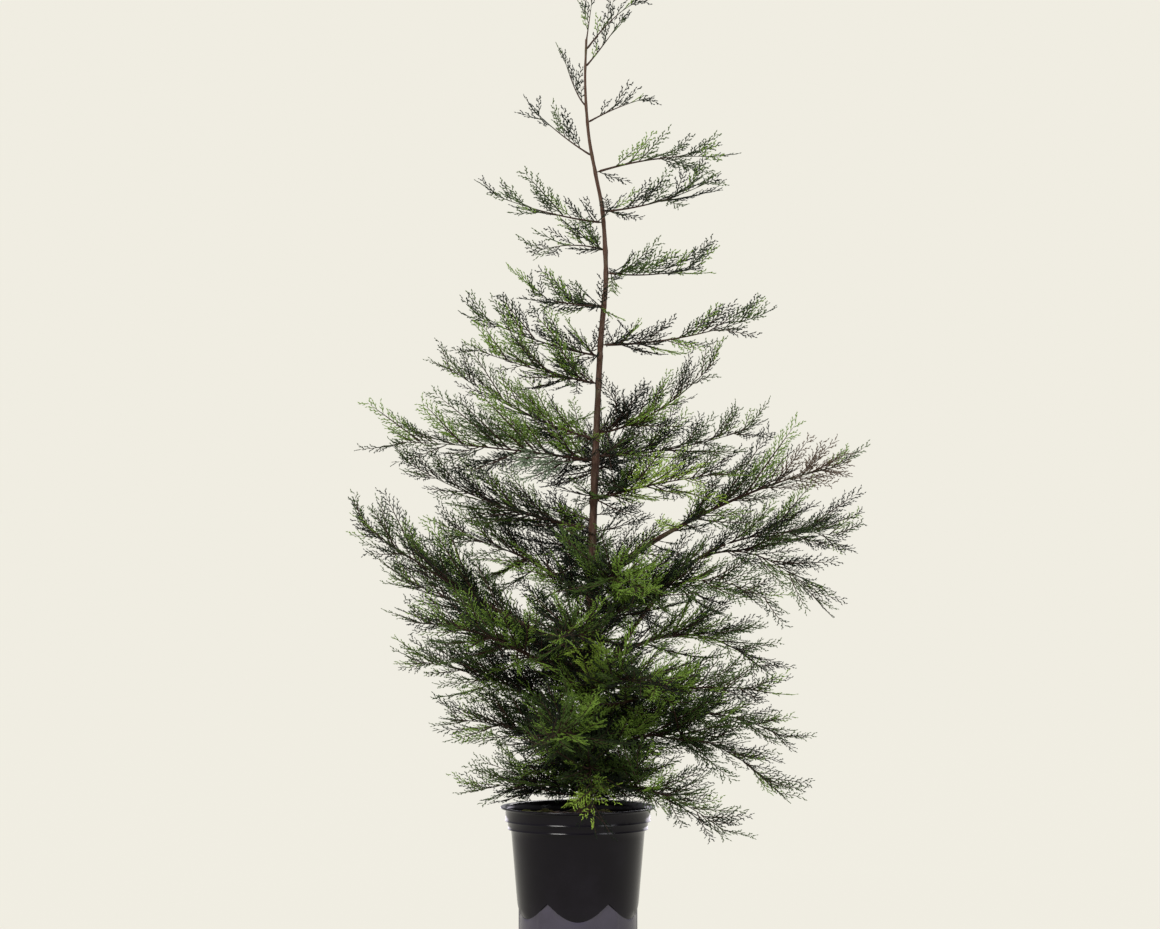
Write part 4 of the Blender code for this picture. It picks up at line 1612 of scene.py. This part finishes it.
@dataclass
class Compost:
    """The compost: an uneven surface with crumbs, chips, grit and moss on it.

    Each of the lumps is its height, how many there are to the metre about, and its seed. Each cushion of
    moss is its angle in degrees, its distance from the middle and its size.
    """

    top: float = 0.2235
    edge: float = 0.2190
    flat: float = 0.055
    smooth: float = 0.03
    radius: float = 0.1279
    depth: float = 0.0078
    rings: int = 26
    steps: int = 90
    lumps: tuple[Triple, ...] = ((0.0022, 38, 3), (0.0012, 120, 9))
    crumbs: int = 1100
    crumb_reach: float = 0.122
    crumb_sizes: Pair = (0.0008, 0.0024)
    kinds: tuple[Crumb, ...] = (
        Crumb(0.62, 1.0, (1, 1, 0.8), CRUMB),
        Crumb(0.31, 1.7, (1.6, 0.9, 0.35), CHIP),
        Crumb(0.07, 0.7, (1, 1, 0.9), GRIT),
    )
    moss: int = 6500
    moss_reach: float = 0.1239
    moss_lean: float = 0.45
    moss_lengths: Pair = (0.0018, 0.0040)
    moss_radius: float = 0.00055
    moss_fresh: float = 0.55
    cushions: tuple[Triple, ...] = (
        (186, 0.112, 0.025), (203, 0.106, 0.023), (168, 0.104, 0.022), (150, 0.108, 0.020),
        (222, 0.110, 0.014), (128, 0.098, 0.015), (262, 0.104, 0.012), (318, 0.106, 0.014),
        (20, 0.110, 0.016), (62, 0.104, 0.013), (95, 0.070, 0.014), (350, 0.072, 0.012),
    )

    def level(self, x: float, y: float) -> float:
        """The surface's height, with its lumps.

        Args:
            x: The place's distance to the right of the middle.
            y: Its distance behind the middle.

        Returns:
            The height.
        """
        radius = math.hypot(x, y)
        share = min(1.0, max(0.0, (radius - self.flat) / (self.radius - self.flat)))
        lumps = 0.0
        for high, scale, seed in self.lumps:
            lumps += high * noise.noise(Vector((x * scale, y * scale, seed)))
        return self.top + (self.edge - self.top) * share + lumps * min(1.0, radius / self.smooth)

    def surface(self) -> Mesh:
        """The uneven top on a shallow round body.

        Returns:
            Its mesh.
        """
        low = self.top - self.depth
        profile = [(self.radius * i / self.rings, self.top) for i in range(self.rings + 1)]
        bm = turned([*profile, (self.radius, low), (0.0, low)], self.steps)
        for vertex in bm.verts:
            if vertex.co.z > self.top - self.depth / 2:
                vertex.co.z = self.level(vertex.co.x, vertex.co.y)
        return from_bmesh("compost", bm, 60)

    def scattered(self, chance: Chance) -> Joined:
        """Crumbs of peat, chips of bark and bits of grit, as small uneven lumps.

        Args:
            chance: The source of their places and shapes.

        Returns:
            The lumps, with their kinds as tones.
        """
        bm = bmesh.new()
        bmesh.ops.create_icosphere(bm, subdivisions=1, radius=1.0)
        bmesh.ops.triangulate(bm, faces=bm.faces)
        ball = np.array([vertex.co[:] for vertex in bm.verts])
        faces = np.array([[vertex.index for vertex in face.verts] for face in bm.faces])
        bm.free()
        joined = Joined()
        for _ in range(self.crumbs):
            radius = self.crumb_reach * math.sqrt(chance.random())
            angle = chance.uniform(0, math.tau)
            x, y = radius * math.cos(angle), radius * math.sin(angle)
            number = chance.choice(len(self.kinds), p=[kind.share for kind in self.kinds])
            kind = self.kinds[number]
            shape = np.array(kind.shape) * (chance.uniform(*self.crumb_sizes) * kind.size)
            points = ball * (1 + chance.uniform(-0.22, 0.22, (len(ball), 1))) * shape
            turn = np.array(Matrix.Rotation(chance.uniform(0, math.tau), 3, "Z"))
            tilt = np.array(Matrix.Rotation(chance.uniform(-0.5, 0.5), 3, "X"))
            centre = np.array((x, y, self.level(x, y) + 0.25 * shape[2]))
            joined.add((points @ tilt.T @ turn.T + centre, faces, np.full(len(faces), number)))
        return joined

    def mossy(self, chance: Chance) -> Joined:
        """Cushions of moss, thickest near the rim on the left, with dry tufts among them.

        Args:
            chance: The source of their places and shapes.

        Returns:
            The tufts, fresh or dry as their tones say.
        """
        rows = []
        for k in chance.integers(0, len(self.cushions), self.moss):
            angle, radius, size = self.cushions[k]
            off = chance.normal(0, size * 0.48, 2)
            x = radius * math.cos(math.radians(angle)) + off[0]
            y = radius * math.sin(math.radians(angle)) + off[1]
            if math.hypot(x, y) <= self.moss_reach:
                dome = 0.55 * size * math.exp(-(off @ off) / (0.5 * size**2))
                rows.append((x, y, self.level(x, y) + 0.6 * dome - 0.0004))
        count = len(rows)
        lean = [chance.normal(0, self.moss_lean, count) for _ in range(2)]
        way = unit(np.stack((*lean, np.ones(count)), 1))
        length = chance.uniform(*self.moss_lengths, count)
        tone = np.where(chance.random(count) < self.moss_fresh, 0, 1)
        flat = square_to(np.tile((1.0, 0.3, 0.0), (count, 1)), way)
        tufts = Shoots(np.array(rows), way, flat, length, np.zeros((count, 3)), tone)
        joined = Joined()
        joined.add(tufts.spindles(((0.4, 1.0),), 3, 1.0, np.full(count, self.moss_radius)))
        return joined

    def build(self) -> None:
        """Builds the compost and what lies on it."""
        finished("compost", self.surface(), [PEAT], ("soil",))
        chance = np.random.default_rng(7)
        self.scattered(chance).piece("compost_crumbs", [kind.finish for kind in self.kinds], Slot.SOIL)
        self.mossy(chance).piece("moss", [MOSS, MOSS_DRY], Slot.SOIL)


# Studio


@dataclass(frozen=True)
class Lamp:
    """A soft square lamp aimed at the middle of the plant."""

    name: str
    place: Triple
    size: float
    power: float
    colour: Colour

    def build(self) -> None:
        """Builds the lamp, which the camera doesn't see."""
        data = bpy.data.lights.new(self.name, "AREA")
        data.size = self.size
        data.energy = self.power
        data.color = self.colour
        lamp = placed(self.name, data)
        lamp.location = self.place
        lamp.visible_camera = False
        aim = Vector((0, 0, 0.85)) - Vector(self.place)
        lamp.rotation_euler = aim.to_track_quat("-Z", "Y").to_euler()


@dataclass
class Studio:
    """A pale floor, soft light and the camera at the photograph's angle."""

    BACKDROP = (0.871, 0.847, 0.760)
    light: Colour = (0.90, 0.88, 0.95)
    light_strength: float = 0.62
    floor_radius: float = 60.0
    floor_height: float = -0.0005
    floor_lit: float = 0.002
    camera: Triple = (0.0036, -6.8, 0.8547)
    focal_pixels: float = 3778
    frame_width: float = 1160
    sensor: float = 36
    lamps: tuple[Lamp, ...] = (
        Lamp("key", (-3.2, -4.2, 4.4), 2.2, 420, (1.0, 0.98, 0.94)),
        Lamp("fill", (4.0, -3.4, 2.4), 2.4, 150, (0.96, 0.97, 1.0)),
        Lamp("rear", (1.5, 4.6, 3.6), 2.4, 160, (1.0, 0.98, 0.97)),
        Lamp("edge_left", (-0.62, 1.38, 0.36), 0.62, 2.6, (0.92, 0.86, 1.0)),
        Lamp("edge_right", (0.80, 1.36, 0.42), 0.80, 5, (0.92, 0.86, 1.0)),
    )

    def floor(self) -> None:
        """Builds the floor, a wide round sheet that glows like the backdrop and is lit only a little."""
        bm = bmesh.new()
        bmesh.ops.create_circle(bm, cap_ends=True, segments=96, radius=self.floor_radius)
        bmesh.ops.translate(bm, verts=bm.verts, vec=(0, 0, self.floor_height))
        mesh = from_bmesh("floor", bm)
        lit = self.floor_lit
        colour = tuple(lit * c / (self.light_strength * l) for c, l in zip(self.BACKDROP, self.light))
        mesh.materials.append(PaleSweep("Pale floor", colour, 0.9, 0.0, 1 - lit).material())
        placed("floor", mesh)

    def world(self) -> None:
        """Sets even light from all round, with the backdrop's own colour where the camera sees it."""
        world = bpy.data.worlds.new("Studio")
        bpy.context.scene.world = world
        world.use_nodes = True
        graph = Graph(world.node_tree)
        seen = graph.node("ShaderNodeLightPath", {}, {}, "Is Camera Ray")
        lit = tuple(c * self.light_strength for c in self.light)
        graph.feed(world.node_tree.nodes["Background"], {"Color": graph.blend(seen, lit, self.BACKDROP)})

    def build(self) -> None:
        """Builds floor, light and camera."""
        self.floor()
        self.world()
        for lamp in self.lamps:
            lamp.build()
        data = bpy.data.cameras.new("Camera")
        data.sensor_width = self.sensor
        data.lens = self.focal_pixels / self.frame_width * self.sensor
        data.clip_end = 300
        camera = placed("Camera", data)
        camera.location = self.camera
        camera.rotation_euler = (math.pi / 2, 0, 0)
        bpy.context.scene.camera = camera
        bpy.context.scene.view_settings.view_transform = "Standard"


def plan_box() -> tuple[Array, Array]:
    """The low and high corner of the box round all the nodes of the plan."""
    corners = np.array([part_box(node) for node in frame["nodes"]])
    return corners[:, 0].min(axis=0), corners[:, 1].max(axis=0)


def main() -> None:
    """Builds the plant, its pot and the studio."""
    logging.basicConfig(level=logging.INFO, format="%(message)s")
    stem = Stem()
    Pot().build()
    Compost().build()
    crown = Crown(stem, plan_box())
    Wood(stem).build(crown.ways())
    crown.build()
    Studio().build()


if __name__ == "__main__":
    main()
